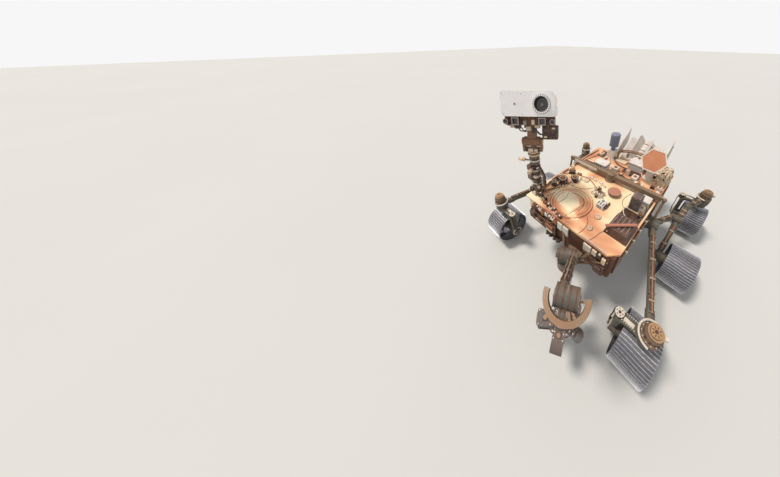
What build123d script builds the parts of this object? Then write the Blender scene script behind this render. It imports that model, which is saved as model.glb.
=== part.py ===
from build123d import *
import os
from math import cos, degrees, radians, sin

# Six-wheeled planetary rover, millimetres, +Z up, the front faces -Y and its left side +X.
# Places along Y are counted from the middle axle, and the finished vehicle is then moved
# so that the origin is on the ground under the middle of its footprint.

# Wheels and their places
WHEEL_SKIN_R = 250
GROUSER_HEIGHT = 13
GROUSER_COUNT = 48
GROUSER_FOOT = 11
WHEEL_WIDTH = 330
SKIN_WALL = 7
WHEEL_HUB_R = 88
WHEEL_HUB_SIDES = 16
WHEEL_HUB_LENGTH = 120
HUB_OFFSET = 10
SPOKE_COUNT = 6
SPOKE_WALL = 9
SPOKE_WIDTH = 64
SPOKE_SWEEP = 34
WHEEL_R = WHEEL_SKIN_R + GROUSER_HEIGHT
MIDDLE_X = 1185
CORNER_X = 1100
FRONT_Y = -1100
REAR_Y = 1020

# Body
BODY_HALF_WIDTH = 600
BODY_FRONT = -930
BODY_LENGTH = 1630
BODY_CORNER_R = 24
BELLY_Z = 660
BELLY_THICKNESS = 14
DECK_Z = 1100
DECK_THICKNESS = 30
DECK_LIP = 22
DECK_CORNER_CUT = 90
SIDE_PANEL_WALL = 24
FRONT_PANEL_WALL = 18
REAR_PANEL_WALL = 12
RING_CENTRE = (-130, -660)
RING_R = 240
RING_FOOT = 30
RING_HEIGHT = 15

# Running gap between faces that turn past each other
JOINT_GAP = 0.5

# Rocker, bogie and steering
ROCKER_PIVOT_Y = -50
ROCKER_PIVOT_Z = 815
ROCKER_HUB_R = 82
ROCKER_HUB_WIDTH = 120
ROCKER_BOSS_LENGTH = 16
LEG_R = 34
SLEEVE_R = 42
SLEEVE_LENGTH = 90
SLEEVE_START = 100
HARNESS_WIDTH = 34
HARNESS_HEIGHT = 20
CLAMP_PITCH = 150
CLAMP_WIDTH = 12
BOGIE_PIVOT_Y = 470
BOGIE_PIVOT_Z = 610
BOGIE_HUB_R = 62
BOGIE_X = 905
BOGIE_HUB_WIDTH = 70
COLLAR_R = 88
COLLAR_Z = 662
COLLAR_HEIGHT = 96
ACTUATOR_HEIGHT = 112
STRUT_REACH = 232
STRUT_WIDTH = 96
STRUT_DEPTH = 58
STRUT_CHAMFER = 12
STRUT_BEND_R = 75
ENCODER_OUT = 24
ENCODER_R = 44
DRIVE_R = 66

# Differential
DIFF_Y = 20
DIFF_RISE = 78
LINK_CLEARANCE = 36
DIFF_DEPTH = 74
DIFF_TIP_DEPTH = 46
DIFF_HEIGHT = 56
DIFF_POST_R = 60
LINK_R = 15
LINK_EYE_R = 26

# Mast and head; the head looks to the left front and a little up, as it is parked
MAST_FROM_EDGE = 40
MAST_FROM_FRONT = 126
MAST_TUBE_R = 42
MAST_BASE_R = 60
MAST_HEIGHT = 540
AZIMUTH_R = 62
AZIMUTH_HEIGHT = 76
TILT_RISE = 156
TILT_R = 48
TILT_HALF_LENGTH = 78
YOKE_EAR = 22
CAMERA_RISE = 194
CAMERA_BAR_HEIGHT = 74
CAMERA_BAR_DEPTH = 150
NARROW_PAIR = 244
WIDE_PAIR = 424
HEAD_WIDTH = 470
HEAD_HEIGHT = 200
HEAD_DEPTH = 330
HEAD_CORNER_R = 26
WINDOW_R = 62
WINDOW_X = 122
HEAD_PAN = 40
HEAD_TILT = 20

# High-gain antenna, parked facing ahead and up
DISH_FROM_EDGE = 230
DISH_FROM_REAR = 300
DISH_POST_R = 48
DISH_POST_HEIGHT = 120
DISH_TILT_RISE = 110
DISH_ACROSS = 276
DISH_THICKNESS = 22
DISH_RIM = 12
DISH_OFFSET = 104
DISH_RISE = 34
DISH_REST = 35

# Helix antenna
HELIX_FROM_EDGE = 315
HELIX_FROM_REAR = 160
HELIX_R = 68
HELIX_HEIGHT = 190
PEDESTAL_HEIGHT = 150
PEDESTAL_WIDTH = 124

# Power source at the rear
POWER_FROM_REAR = 420
POWER_Z = 950
POWER_R = 130
POWER_FIN_R = 310
POWER_LENGTH = 620
POWER_TILT = 35
FIN_COUNT = 8
FIN_WALL = 9
EXCHANGER_X = 372
EXCHANGER_WALL = 26
EXCHANGER_DEPTH = 290
EXCHANGER_LOW_Z = 650

# Arm
SHOULDER_X = 200
SHOULDER_FROM_FRONT = 200
SHOULDER_DROP = 175
SHOULDER_R = 72
UPPER_REACH = 690
UPPER_RISE = 45
FORE_REACH = 665
FORE_ANGLE = -93
ARM_AZIMUTH = 28
LINK_PITCH = 75
UPPER_TUBE_R = 37
FORE_TUBE_R = 33
ELBOW_R = 66
WRIST_R = 52
TURRET_HUB_R = 92
TURRET_HUB_HEIGHT = 176

# Bolt holes offered to payloads: four in the deck, six under the turret
DECK_BOLT_CENTRE = (-430, 320)
DECK_BOLT_PITCH = 140
DECK_BOLT_R = 4.5
TURRET_BOLT_COUNT = 6
TURRET_BOLT_CIRCLE = 130
TURRET_BOLT_R = 3.4
TURRET_BOLT_DEPTH = 20

# Places that follow the body's edges and its deck
BODY_REAR = BODY_FRONT + BODY_LENGTH
LEFT_EDGE = BODY_HALF_WIDTH
RIGHT_EDGE = -BODY_HALF_WIDTH
MAST_X = RIGHT_EDGE + MAST_FROM_EDGE
MAST_Y = BODY_FRONT + MAST_FROM_FRONT
DISH_X = LEFT_EDGE - DISH_FROM_EDGE
DISH_Y = BODY_REAR - DISH_FROM_REAR
HELIX_X = RIGHT_EDGE + HELIX_FROM_EDGE
HELIX_Y = BODY_REAR - HELIX_FROM_REAR
POWER_Y = BODY_REAR + POWER_FROM_REAR
SHOULDER_Y = BODY_FRONT - SHOULDER_FROM_FRONT
SHOULDER_Z = DECK_Z - SHOULDER_DROP
DIFF_Z = DECK_Z + DIFF_RISE
MAST_TOP_Z = DECK_Z + MAST_HEIGHT
TILT_Z = MAST_TOP_Z + TILT_RISE
CAMERA_Z = TILT_Z + CAMERA_RISE
DISH_TILT_Z = DECK_Z + DISH_POST_HEIGHT + DISH_TILT_RISE

LOW = (Align.CENTER, Align.CENTER, Align.MIN)
nodes = {}


def rod(start, end, radius):
    """Round bar between two points."""
    span = Vector(*end) - Vector(*start)
    return Plane(origin=start, z_dir=span) * Cylinder(radius, span.length, align=LOW)


def between(start, end, share):
    """Point a share of the way from start to end."""
    return tuple(a + (b - a) * share for a, b in zip(start, end))


def block(x, y, z, corner=0):
    """Box between two values on each axis, its upright edges rounded by corner."""
    middle = Pos((x[0] + x[1]) / 2, (y[0] + y[1]) / 2, (z[0] + z[1]) / 2)
    solid = middle * Box(x[1] - x[0], y[1] - y[0], z[1] - z[0])
    if corner:
        solid = fillet(solid.edges().filter_by(Axis.Z), corner)
    return solid


def around(centre, half):
    """Low and high value at one distance to each side of a centre."""
    return (centre - half, centre + half)


def disc_x(x0, x1, y, z, radius):
    """Round disc or drum whose axis is along X."""
    return rod((min(x0, x1), y, z), (max(x0, x1), y, z), radius)


def turned(*profile):
    """Solid of revolution about Z from (radius, height) points, closed along the axis."""
    return revolve(Plane.XZ * make_face(Polyline(*profile, close=True)), axis=Axis.Z)


def both_sides(solid):
    """The solid of the left side with its mirror image."""
    return [solid, mirror(solid, about=Plane.YZ)]


def largest(shape):
    """The main solid that a cut leaves, without its offcuts."""
    return shape.solids().sort_by(SortBy.VOLUME)[-1]


# Wheels: a thin skin with cross ribs outside and lips inside, swept spokes and a hub
def wheel_outline():
    """Outline of the skin with its sharp cross ribs."""
    foot = degrees(GROUSER_FOOT / WHEEL_SKIN_R) / 2
    corners = ((WHEEL_SKIN_R, -foot), (WHEEL_R, 0), (WHEEL_SKIN_R, foot))
    points = []
    for i in range(GROUSER_COUNT):
        for radius, turn in corners:
            angle = radians(360 * i / GROUSER_COUNT + turn)
            points.append((radius * cos(angle), radius * sin(angle)))
    return make_face(Polyline(*points, close=True))


def spoke_outline():
    """Bent strip from the hub to the rim, its bend near the hub."""
    radii = (WHEEL_HUB_R - 4, (WHEEL_HUB_R + WHEEL_SKIN_R) / 2, WHEEL_SKIN_R - SKIN_WALL / 2)
    sweeps = (0, SPOKE_SWEEP * 0.28, SPOKE_SWEEP)
    points = []
    for side in (-1, 1):
        strip = []
        for radius, sweep_angle in zip(radii, sweeps):
            angle = radians(sweep_angle) + side * SPOKE_WALL / 2 / radius
            strip.append((radius * cos(angle), radius * sin(angle)))
        points += strip[::side]
    return make_face(Polyline(*points, close=True))


def wheel():
    """Wheel at the origin, its axle along X and its open side towards -X."""
    inner_r = WHEEL_SKIN_R - SKIN_WALL
    skin = extrude(wheel_outline(), WHEEL_WIDTH / 2, both=True)
    skin -= Cylinder(inner_r, WHEEL_WIDTH + 2)
    low = HUB_OFFSET - WHEEL_HUB_LENGTH / 2
    hub = Pos(0, 0, low) * extrude(RegularPolygon(WHEEL_HUB_R, WHEEL_HUB_SIDES), WHEEL_HUB_LENGTH)
    solid = skin + hub
    spoke = Pos(0, 0, HUB_OFFSET - SPOKE_WIDTH / 2) * extrude(spoke_outline(), SPOKE_WIDTH)
    for place in PolarLocations(0, SPOKE_COUNT):
        solid += place * spoke
    return Rot(0, 90, 0) * solid


WHEELS = (
    # name, side, distance from the middle line, place along Y
    ("front_left", 1, CORNER_X, FRONT_Y),
    ("front_right", -1, CORNER_X, FRONT_Y),
    ("middle_left", 1, MIDDLE_X, 0),
    ("middle_right", -1, MIDDLE_X, 0),
    ("rear_left", 1, CORNER_X, REAR_Y),
    ("rear_right", -1, CORNER_X, REAR_Y),
)
CORNERS = [row for row in WHEELS if row[3]]
left_wheel = wheel()
for name, side, out, y in WHEELS:
    facing = left_wheel if side > 0 else Rot(0, 0, 180) * left_wheel
    nodes["wheel_" + name] = Pos(side * out, y, WHEEL_R) * facing

# Steering struts: a flange under the collar, an arch inboard over the wheel and down to its drive
hub_inner_face = WHEEL_HUB_LENGTH / 2 - HUB_OFFSET
strut_top = COLLAR_Z - JOINT_GAP
strut_mid = strut_top - STRUT_DEPTH / 2
strut_low = strut_top - STRUT_DEPTH


def strut():
    """Strut of a left corner wheel, its steering axis on the Z axis."""
    path = FilletPolyline((0, 0, strut_mid), (-STRUT_REACH, 0, strut_mid), (-STRUT_REACH, 0, WHEEL_R),
                          radius=STRUT_BEND_R)
    flat = Rectangle(STRUT_WIDTH, STRUT_DEPTH)
    flat = chamfer(flat.vertices(), STRUT_CHAMFER)
    section = Plane(origin=path @ 0, x_dir=(0, 1, 0), z_dir=path % 0) * flat
    solid = sweep(section, path=path)
    solid += rod((0, 0, strut_low), (0, 0, strut_top), COLLAR_R - 10)
    solid += disc_x(-STRUT_REACH - 34, -STRUT_REACH + 30, 0, WHEEL_R, DRIVE_R + 8)
    solid += disc_x(-STRUT_REACH, -hub_inner_face - JOINT_GAP, 0, WHEEL_R, DRIVE_R)
    solid += disc_x(-STRUT_REACH - 60, -STRUT_REACH - 34, 0, WHEEL_R, DRIVE_R - 26)
    # encoder housing with its flange facing up at the inboard shoulder of the arch
    encoder_x = -STRUT_REACH - ENCODER_OUT
    solid += rod((encoder_x, 0, strut_low - 10), (encoder_x, 0, strut_top), ENCODER_R - 8)
    solid += rod((encoder_x, 0, strut_top), (encoder_x, 0, strut_top + 8), ENCODER_R)
    return solid


left_strut = strut()
for name, side, out, y in CORNERS:
    facing = left_strut if side > 0 else Rot(0, 0, 180) * left_strut
    nodes["strut_" + name] = Pos(side * out, y, 0) * facing

# Steering actuators, stepped housings that stand on the four collars
collar_top = COLLAR_Z + COLLAR_HEIGHT
actuator = turned((0, 0), (COLLAR_R - 4, 0), (COLLAR_R - 4, 14), (70, 14), (70, ACTUATOR_HEIGHT - 34),
                  (62, ACTUATOR_HEIGHT - 22), (62, ACTUATOR_HEIGHT), (46, ACTUATOR_HEIGHT),
                  (46, ACTUATOR_HEIGHT + 14), (0, ACTUATOR_HEIGHT + 14))
nodes["steering_actuators"] = [Pos(side * out, y, collar_top) * actuator for name, side, out, y in CORNERS]


def leg(start, end):
    """Tube with a sleeve near each end."""
    length = (Vector(*end) - Vector(*start)).length
    first = SLEEVE_START / length
    last = (SLEEVE_START + SLEEVE_LENGTH) / length
    tube = rod(start, end, LEG_R)
    tube += rod(between(start, end, first), between(start, end, last), SLEEVE_R)
    tube += rod(between(start, end, 1 - last), between(start, end, 1 - first), SLEEVE_R)
    return tube


def harness(start, end, first, last):
    """Cable tray on top of a tube, held by evenly spaced saddles."""
    span = Vector(*end) - Vector(*start)
    side = Vector(0, 0, 1).cross(span).normalized()
    up = span.cross(side).normalized()
    tray_from = span.length * first
    tray_length = span.length * (last - first)
    place = Plane(origin=start, x_dir=side, z_dir=span)
    lift = LEG_R + HARNESS_HEIGHT / 2 - 6
    if up.Z < 0:
        lift = -lift
    tray = Pos(0, lift, tray_from) * Box(HARNESS_WIDTH, HARNESS_HEIGHT, tray_length, align=LOW)
    count = int(tray_length / CLAMP_PITCH) + 1
    pitch = (tray_length - CLAMP_WIDTH) / (count - 1)
    for i in range(count):
        saddle = Box(HARNESS_WIDTH + 18, HARNESS_HEIGHT + 14, CLAMP_WIDTH, align=LOW)
        tray += Pos(0, lift, tray_from + i * pitch) * saddle
    return place * tray


# Rocker of the left side: hub beside the body, a long leg to the front collar, a short one to the bogie
rocker_x = BODY_HALF_WIDTH + SIDE_PANEL_WALL + ROCKER_BOSS_LENGTH
rocker_out = rocker_x + ROCKER_HUB_WIDTH
collar_mid = COLLAR_Z + COLLAR_HEIGHT / 2
bogie_mid = BOGIE_X + BOGIE_HUB_WIDTH / 2
pivot = (rocker_x + ROCKER_HUB_WIDTH / 2, ROCKER_PIVOT_Y, ROCKER_PIVOT_Z)
front_end = (CORNER_X, FRONT_Y, collar_mid - 6)
rear_end = (BOGIE_X - 40, BOGIE_PIVOT_Y, BOGIE_PIVOT_Z)
rocker = disc_x(rocker_x, rocker_out, ROCKER_PIVOT_Y, ROCKER_PIVOT_Z, ROCKER_HUB_R)
rocker += disc_x(rocker_x, rocker_x + 18, ROCKER_PIVOT_Y, ROCKER_PIVOT_Z, ROCKER_HUB_R + 14)
rocker += disc_x(rocker_out, rocker_out + 14, ROCKER_PIVOT_Y, ROCKER_PIVOT_Z, ROCKER_HUB_R - 30)
rocker += leg(pivot, front_end) + leg(pivot, rear_end)
rocker += harness(pivot, front_end, 0.17, 0.86)
rocker += Pos(CORNER_X, FRONT_Y, COLLAR_Z) * Cylinder(COLLAR_R, COLLAR_HEIGHT, align=LOW)
rocker += disc_x(BOGIE_X - 76, BOGIE_X - JOINT_GAP, BOGIE_PIVOT_Y, BOGIE_PIVOT_Z, BOGIE_HUB_R - 8)
nodes["rocker_left"] = rocker
nodes["rocker_right"] = mirror(rocker, about=Plane.YZ)

# Bogie of the left side: pivot, a leg to the middle drive, a leg over the rear wheel to its collar
bogie_pivot = (bogie_mid, BOGIE_PIVOT_Y, BOGIE_PIVOT_Z)
middle_foot = (bogie_mid, 0, WHEEL_R)
knee = (bogie_mid + 20, BOGIE_PIVOT_Y + 190, collar_mid + 30)
rear_collar = (CORNER_X, REAR_Y, collar_mid)
bogie = disc_x(BOGIE_X, BOGIE_X + BOGIE_HUB_WIDTH, BOGIE_PIVOT_Y, BOGIE_PIVOT_Z, BOGIE_HUB_R)
bogie += disc_x(BOGIE_X + BOGIE_HUB_WIDTH, BOGIE_X + BOGIE_HUB_WIDTH + 14, BOGIE_PIVOT_Y, BOGIE_PIVOT_Z, BOGIE_HUB_R - 22)
bogie += leg(bogie_pivot, middle_foot)
bogie += disc_x(BOGIE_X - 22, BOGIE_X, 0, WHEEL_R, DRIVE_R - 18)
bogie += disc_x(BOGIE_X, MIDDLE_X - WHEEL_WIDTH / 2 - 6, 0, WHEEL_R, DRIVE_R + 12)
bogie += disc_x(BOGIE_X, MIDDLE_X - hub_inner_face - JOINT_GAP, 0, WHEEL_R, DRIVE_R)
bogie += rod(bogie_pivot, knee, LEG_R) + Pos(*knee) * Sphere(SLEEVE_R) + leg(knee, rear_collar)
bogie += Pos(CORNER_X, REAR_Y, COLLAR_Z) * Cylinder(COLLAR_R, COLLAR_HEIGHT, align=LOW)
nodes["bogie_left"] = bogie
nodes["bogie_right"] = mirror(bogie, about=Plane.YZ)

# Body: closed box, belly pan with hatches, deck with its ring and port covers
body_y = (BODY_FRONT, BODY_REAR)
body_x = around(0, BODY_HALF_WIDTH)
deck_low = DECK_Z - DECK_THICKNESS
nodes["body_box"] = block(body_x, body_y, (BELLY_Z + BELLY_THICKNESS, deck_low), BODY_CORNER_R)

belly = block(body_x, body_y, (BELLY_Z, BELLY_Z + BELLY_THICKNESS), BODY_CORNER_R)
BELLY_HATCHES = (
    # x, y, radius
    (-330, -560, 120),
    (330, -560, 120),
    (-300, 420, 90),
    (300, 420, 90),
)
hatch_drop = 8
for x, y, radius in BELLY_HATCHES:
    belly += rod((x, y, BELLY_Z - hatch_drop), (x, y, BELLY_Z), radius)
for x in (-BODY_HALF_WIDTH + 60, 0, BODY_HALF_WIDTH - 60):
    half = 16 if x else 24
    belly += block(around(x, half), (BODY_FRONT + 60, BODY_REAR - 60), (BELLY_Z - 14, BELLY_Z))
nodes["belly_pan"] = belly

deck_x = BODY_HALF_WIDTH + DECK_LIP
deck_front = BODY_FRONT - DECK_LIP
deck_outline = Polyline(
    (-deck_x, deck_front), (deck_x - DECK_CORNER_CUT, deck_front), (deck_x, deck_front + DECK_CORNER_CUT),
    (deck_x, BODY_REAR), (-deck_x, BODY_REAR), close=True)
deck = Pos(0, 0, deck_low) * extrude(make_face(deck_outline), DECK_THICKNESS)
deck += Pos(*RING_CENTRE, DECK_Z) * turned(
    (RING_R - RING_FOOT / 2, 0), (RING_R - RING_FOOT / 4, RING_HEIGHT), (RING_R + RING_FOOT / 4, RING_HEIGHT),
    (RING_R + RING_FOOT / 2, 0))
band_r = RING_R - RING_FOOT
deck += Pos(*RING_CENTRE, DECK_Z) * (Cylinder(band_r, 6, align=LOW) - Cylinder(band_r - 18, 6, align=LOW))
PORTS = (
    # x, y, radius, height
    (230, -640, 32, 12),
    (-20, -345, 30, 12),
    (250, -820, 24, 10),
    (-230, -220, 34, 16),
)
for x, y, radius, height in PORTS:
    deck += Pos(x, y, DECK_Z) * Cone(radius + 5, radius, height, align=LOW)
bolt_places = [Pos(*DECK_BOLT_CENTRE, DECK_Z) * place for place in GridLocations(DECK_BOLT_PITCH, DECK_BOLT_PITCH, 2, 2)]
deck -= [place * Cylinder(DECK_BOLT_R, 2 * DECK_THICKNESS + 2) for place in bolt_places]
nodes["top_deck"] = deck

# Side panels: raised frame, a grille of pockets ahead, a round port and a beige plate behind it
panel_y = (BODY_FRONT + 60, BODY_REAR - 60)
panel_z = (BELLY_Z + 40, deck_low - 20)
panel_outer = BODY_HALF_WIDTH + SIDE_PANEL_WALL
panel_x = (BODY_HALF_WIDTH, panel_outer)
side_panel = block(panel_x, panel_y, panel_z)
POCKET_ROWS = 4
POCKET_COLUMNS = 5
pocket = Box(24, 46, 34)
grille_centre = (panel_outer, BODY_FRONT + 270, (panel_z[0] + panel_z[1]) / 2 - 16)
for place in GridLocations(62, 56, POCKET_COLUMNS, POCKET_ROWS):
    at = place.position
    side_panel -= Pos(grille_centre[0], grille_centre[1] + at.X, grille_centre[2] + at.Y) * pocket
port_y = BODY_FRONT + 520
side_panel += disc_x(panel_outer, panel_outer + 14, port_y, panel_z[1] - 84, 66)
side_panel -= disc_x(panel_outer + 4, panel_outer + 20, port_y, panel_z[1] - 84, 50)
side_panel += block((panel_outer, panel_outer + 8), (port_y + 90, ROCKER_PIVOT_Y - ROCKER_HUB_R - 30),
                    (panel_z[0] + 30, panel_z[1] - 40))
side_panel += block((panel_outer, panel_outer + 8), (ROCKER_PIVOT_Y + ROCKER_HUB_R + 40, BODY_REAR - 120),
                    (panel_z[0] + 60, panel_z[1] - 40))
nodes["side_panels"] = both_sides(side_panel)
boss = disc_x(panel_outer, rocker_x, ROCKER_PIVOT_Y, ROCKER_PIVOT_Z, ROCKER_HUB_R - 14)
nodes["rocker_bosses"] = both_sides(boss)

# Front panel with two bit boxes and a sample tray; rear panel with a box for the power source's stays
front_face = BODY_FRONT - FRONT_PANEL_WALL
front_panel = block(around(0, BODY_HALF_WIDTH - 40), (front_face, BODY_FRONT), (BELLY_Z + 30, deck_low - 14))
for x in (-470, -350):
    front_panel += rod((x, front_face, 900), (x, front_face - 58, 884), 42)
front_panel += block((-270, -90), (front_face - 44, front_face), (790, 960))
front_panel += block((440, 548), (front_face - 36, front_face), (720, 900))
nodes["front_panel"] = front_panel

# Differential: a post, the tapered bar over the deck and two links to the rockers
link_x = panel_outer + LINK_CLEARANCE + LINK_EYE_R
diff_half = link_x - LINK_EYE_R
post = turned((0, DECK_Z), (DIFF_POST_R + 16, DECK_Z), (DIFF_POST_R, DECK_Z + 20),
              (DIFF_POST_R, DIFF_Z + DIFF_HEIGHT / 2 + 12), (DIFF_POST_R - 26, DIFF_Z + DIFF_HEIGHT / 2 + 24),
              (0, DIFF_Z + DIFF_HEIGHT / 2 + 24))
bar_outline = Polyline(
    (-diff_half, -DIFF_TIP_DEPTH / 2), (0, -DIFF_DEPTH / 2), (diff_half, -DIFF_TIP_DEPTH / 2),
    (diff_half, DIFF_TIP_DEPTH / 2), (0, DIFF_DEPTH / 2), (-diff_half, DIFF_TIP_DEPTH / 2), close=True)
beam = Pos(0, DIFF_Y, DIFF_Z - DIFF_HEIGHT / 2) * extrude(make_face(bar_outline), DIFF_HEIGHT)
nodes["differential_bar"] = beam + Pos(0, DIFF_Y, 0) * post
link_foot = (link_x, ROCKER_PIVOT_Y + 10, ROCKER_PIVOT_Z + ROCKER_HUB_R - 6)
link = rod(link_foot, (link_x, DIFF_Y, DIFF_Z), LINK_R) + Pos(link_x, DIFF_Y, DIFF_Z) * Sphere(LINK_EYE_R)
nodes["differential_links"] = both_sides(largest(link - rocker - beam))

# Mast: base box, tube with collars and harness boxes, sensor booms
mast = block(around(MAST_X, 62), around(MAST_Y, 62), (DECK_Z, DECK_Z + 46), 14)
mast += Pos(MAST_X, MAST_Y, DECK_Z) * turned((0, 0), (MAST_BASE_R, 0), (MAST_BASE_R, 96), (MAST_TUBE_R + 8, 128), (0, 128))
mast += rod((MAST_X, MAST_Y, DECK_Z), (MAST_X, MAST_Y, MAST_TOP_Z), MAST_TUBE_R)
for drop in (340, 220, 100, 26):
    z = MAST_TOP_Z - drop
    mast += rod((MAST_X, MAST_Y, z), (MAST_X, MAST_Y, z + 26), MAST_TUBE_R + 14)
for drop, depth in ((306, 44), (186, 38)):
    z = MAST_TOP_Z - drop
    mast += block(around(MAST_X - 26, 30), (MAST_Y - MAST_TUBE_R - depth, MAST_Y), (z, z + 66))
BOOMS = (
    # distance below the top, direction in degrees from straight ahead towards the left, length
    (80, -62, 190),
    (150, 18, 150),
)
for drop, heading, length in BOOMS:
    z = MAST_TOP_Z - drop
    far = (MAST_X + length * sin(radians(heading)), MAST_Y - length * cos(radians(heading)), z)
    mast += rod((MAST_X, MAST_Y, z), far, 9)
    mast += rod(between((MAST_X, MAST_Y, z), far, 0.62), far, 17)

# Curved harness beside the mast, from the azimuth drive down to the base
harness_path = FilletPolyline(
    (MAST_X + 40, MAST_Y, MAST_TOP_Z - 140), (MAST_X + 124, MAST_Y, MAST_TOP_Z - 220),
    (MAST_X + 124, MAST_Y, DECK_Z + 140), (MAST_X + 40, MAST_Y, DECK_Z + 60), radius=60)
harness_section = Plane(origin=harness_path @ 0, z_dir=harness_path % 0) * RegularPolygon(14, 8)
nodes["mast"] = mast + sweep(harness_section, path=harness_path)

# Turning yoke and tilting head, built facing ahead and then turned to the parked direction
azimuth_low = MAST_TOP_Z + JOINT_GAP
azimuth_high = azimuth_low + AZIMUTH_HEIGHT
PAN = Rot(0, 0, HEAD_PAN)
TILT = Pos(0, 0, TILT_Z) * Rot(-HEAD_TILT, 0, 0) * Pos(0, 0, -TILT_Z)
ON_MAST = Pos(MAST_X, MAST_Y, 0) * PAN

yoke = turned((0, azimuth_low), (AZIMUTH_R, azimuth_low), (AZIMUTH_R, azimuth_high - 10), (AZIMUTH_R - 10, azimuth_high),
              (0, azimuth_high))
yoke += block(around(0, TILT_HALF_LENGTH + YOKE_EAR), around(0, 38), (azimuth_high - 20, azimuth_high))
for side in (-1, 1):
    ear_x = (side * (TILT_HALF_LENGTH + JOINT_GAP), side * (TILT_HALF_LENGTH + YOKE_EAR))
    yoke += block(sorted(ear_x), around(0, 38), (azimuth_high - 20, TILT_Z))
    yoke += disc_x(*ear_x, 0, TILT_Z, 38)
nodes["mast_yoke"] = ON_MAST * yoke

camera_low = CAMERA_Z - CAMERA_BAR_HEIGHT / 2
head_low = CAMERA_Z + CAMERA_BAR_HEIGHT / 2
camera_front = -CAMERA_BAR_DEPTH + 50
neck = disc_x(-TILT_HALF_LENGTH, TILT_HALF_LENGTH, 0, TILT_Z, TILT_R)
neck += block(around(0, 44), around(0, 34), (TILT_Z, camera_low))
neck += block(around(0, 70), around(0, 34), (camera_low - 30, camera_low))
nodes["head_neck"] = ON_MAST * TILT * neck
camera_bar = block(around(0, HEAD_WIDTH / 2 - 6), (camera_front, 50), (camera_low, head_low))
for x in around(0, NARROW_PAIR / 2):
    camera_bar += block(around(x, 33), (camera_front - 46, camera_front), around(CAMERA_Z - 4, 33))
    camera_bar -= block(around(x, 22), (camera_front - 60, camera_front - 20), around(CAMERA_Z - 4, 22))
for x in around(0, WIDE_PAIR / 2):
    camera_bar += rod((x, camera_front, CAMERA_Z - 6), (x, camera_front - 40, CAMERA_Z - 6), 25)
    camera_bar -= rod((x, camera_front - 26, CAMERA_Z - 6), (x, camera_front - 60, CAMERA_Z - 6), 17)
nodes["camera_bar"] = ON_MAST * TILT * camera_bar
electronics = block((112, 256), (camera_front + 10, 60), (camera_low - 128, camera_low))
nodes["head_electronics"] = ON_MAST * TILT * electronics
head = block(around(0, HEAD_WIDTH / 2), around(0, HEAD_DEPTH / 2), (head_low, head_low + HEAD_HEIGHT))
head = fillet(head.edges().filter_by(Axis.Y), HEAD_CORNER_R)
window_z = head_low + HEAD_HEIGHT / 2
window_ring = rod((WINDOW_X, -HEAD_DEPTH / 2, window_z), (WINDOW_X, -HEAD_DEPTH / 2 - 20, window_z), WINDOW_R + 14)
head = head + window_ring - rod((WINDOW_X, -HEAD_DEPTH / 2 - 24, window_z), (WINDOW_X, -HEAD_DEPTH / 2 + 40, window_z), WINDOW_R)
head += block((HEAD_WIDTH / 2, HEAD_WIDTH / 2 + 26), (-HEAD_DEPTH / 2 + 10, -HEAD_DEPTH / 2 + 70), (head_low + 20, head_low + 84))
nodes["head_box"] = ON_MAST * TILT * head

# Helix antenna on its pedestal
pedestal_top = DECK_Z + PEDESTAL_HEIGHT
pedestal = block(around(HELIX_X, PEDESTAL_WIDTH / 2), around(HELIX_Y, PEDESTAL_WIDTH / 2), (DECK_Z, pedestal_top), 12)
pedestal += block(around(HELIX_X, PEDESTAL_WIDTH / 2 + 14), around(HELIX_Y, PEDESTAL_WIDTH / 2 + 14), (DECK_Z, DECK_Z + 12))
nodes["antenna_pedestal"] = pedestal
nodes["helix_antenna"] = Pos(HELIX_X, HELIX_Y, pedestal_top) * turned(
    (0, 0), (34, 0), (30, 34), (54, 62), (HELIX_R, 66), (HELIX_R, 62 + HELIX_HEIGHT), (HELIX_R - 8, 70 + HELIX_HEIGHT),
    (0, 70 + HELIX_HEIGHT))

# High-gain antenna: post, turning yoke and tilting six-sided panel
post_top = DECK_Z + DISH_POST_HEIGHT
nodes["dish_post"] = Pos(DISH_X, DISH_Y, DECK_Z) * turned(
    (0, 0), (DISH_POST_R + 18, 0), (DISH_POST_R + 18, 12), (DISH_POST_R, 24), (DISH_POST_R, DISH_POST_HEIGHT), (0, DISH_POST_HEIGHT))
DISH_HINGE_HALF = 34
dish_yoke = rod((DISH_X, DISH_Y, post_top + JOINT_GAP), (DISH_X, DISH_Y, post_top + 44), DISH_POST_R)
for side in (-1, 1):
    ear_x = (DISH_X + side * (DISH_HINGE_HALF + JOINT_GAP), DISH_X + side * (DISH_HINGE_HALF + 14))
    dish_yoke += block(sorted(ear_x), around(DISH_Y, 26), (post_top + 30, DISH_TILT_Z))
    dish_yoke += disc_x(*ear_x, DISH_Y, DISH_TILT_Z, 26)
nodes["dish_yoke"] = dish_yoke
hexagon = RegularPolygon(DISH_ACROSS / 2, 6, major_radius=False)
inner_hexagon = RegularPolygon(DISH_ACROSS / 2 - DISH_RIM, 6, major_radius=False)
plate = extrude(hexagon, DISH_THICKNESS) - Pos(0, 0, DISH_THICKNESS - 6) * extrude(inner_hexagon, 6)
dish = disc_x(-DISH_HINGE_HALF, DISH_HINGE_HALF, 0, 0, 26)
dish += block(around(0, 24), (-DISH_OFFSET, 0), around(0, 20))
dish += block(around(0, 60), (-DISH_OFFSET, -DISH_OFFSET + 26), (-40, 96))
dish += Pos(0, -DISH_OFFSET, DISH_RISE) * Rot(90, 0, 0) * plate
nodes["dish_panel"] = Pos(DISH_X, DISH_Y, DISH_TILT_Z) * Rot(-DISH_REST, 0, 0) * dish

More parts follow.
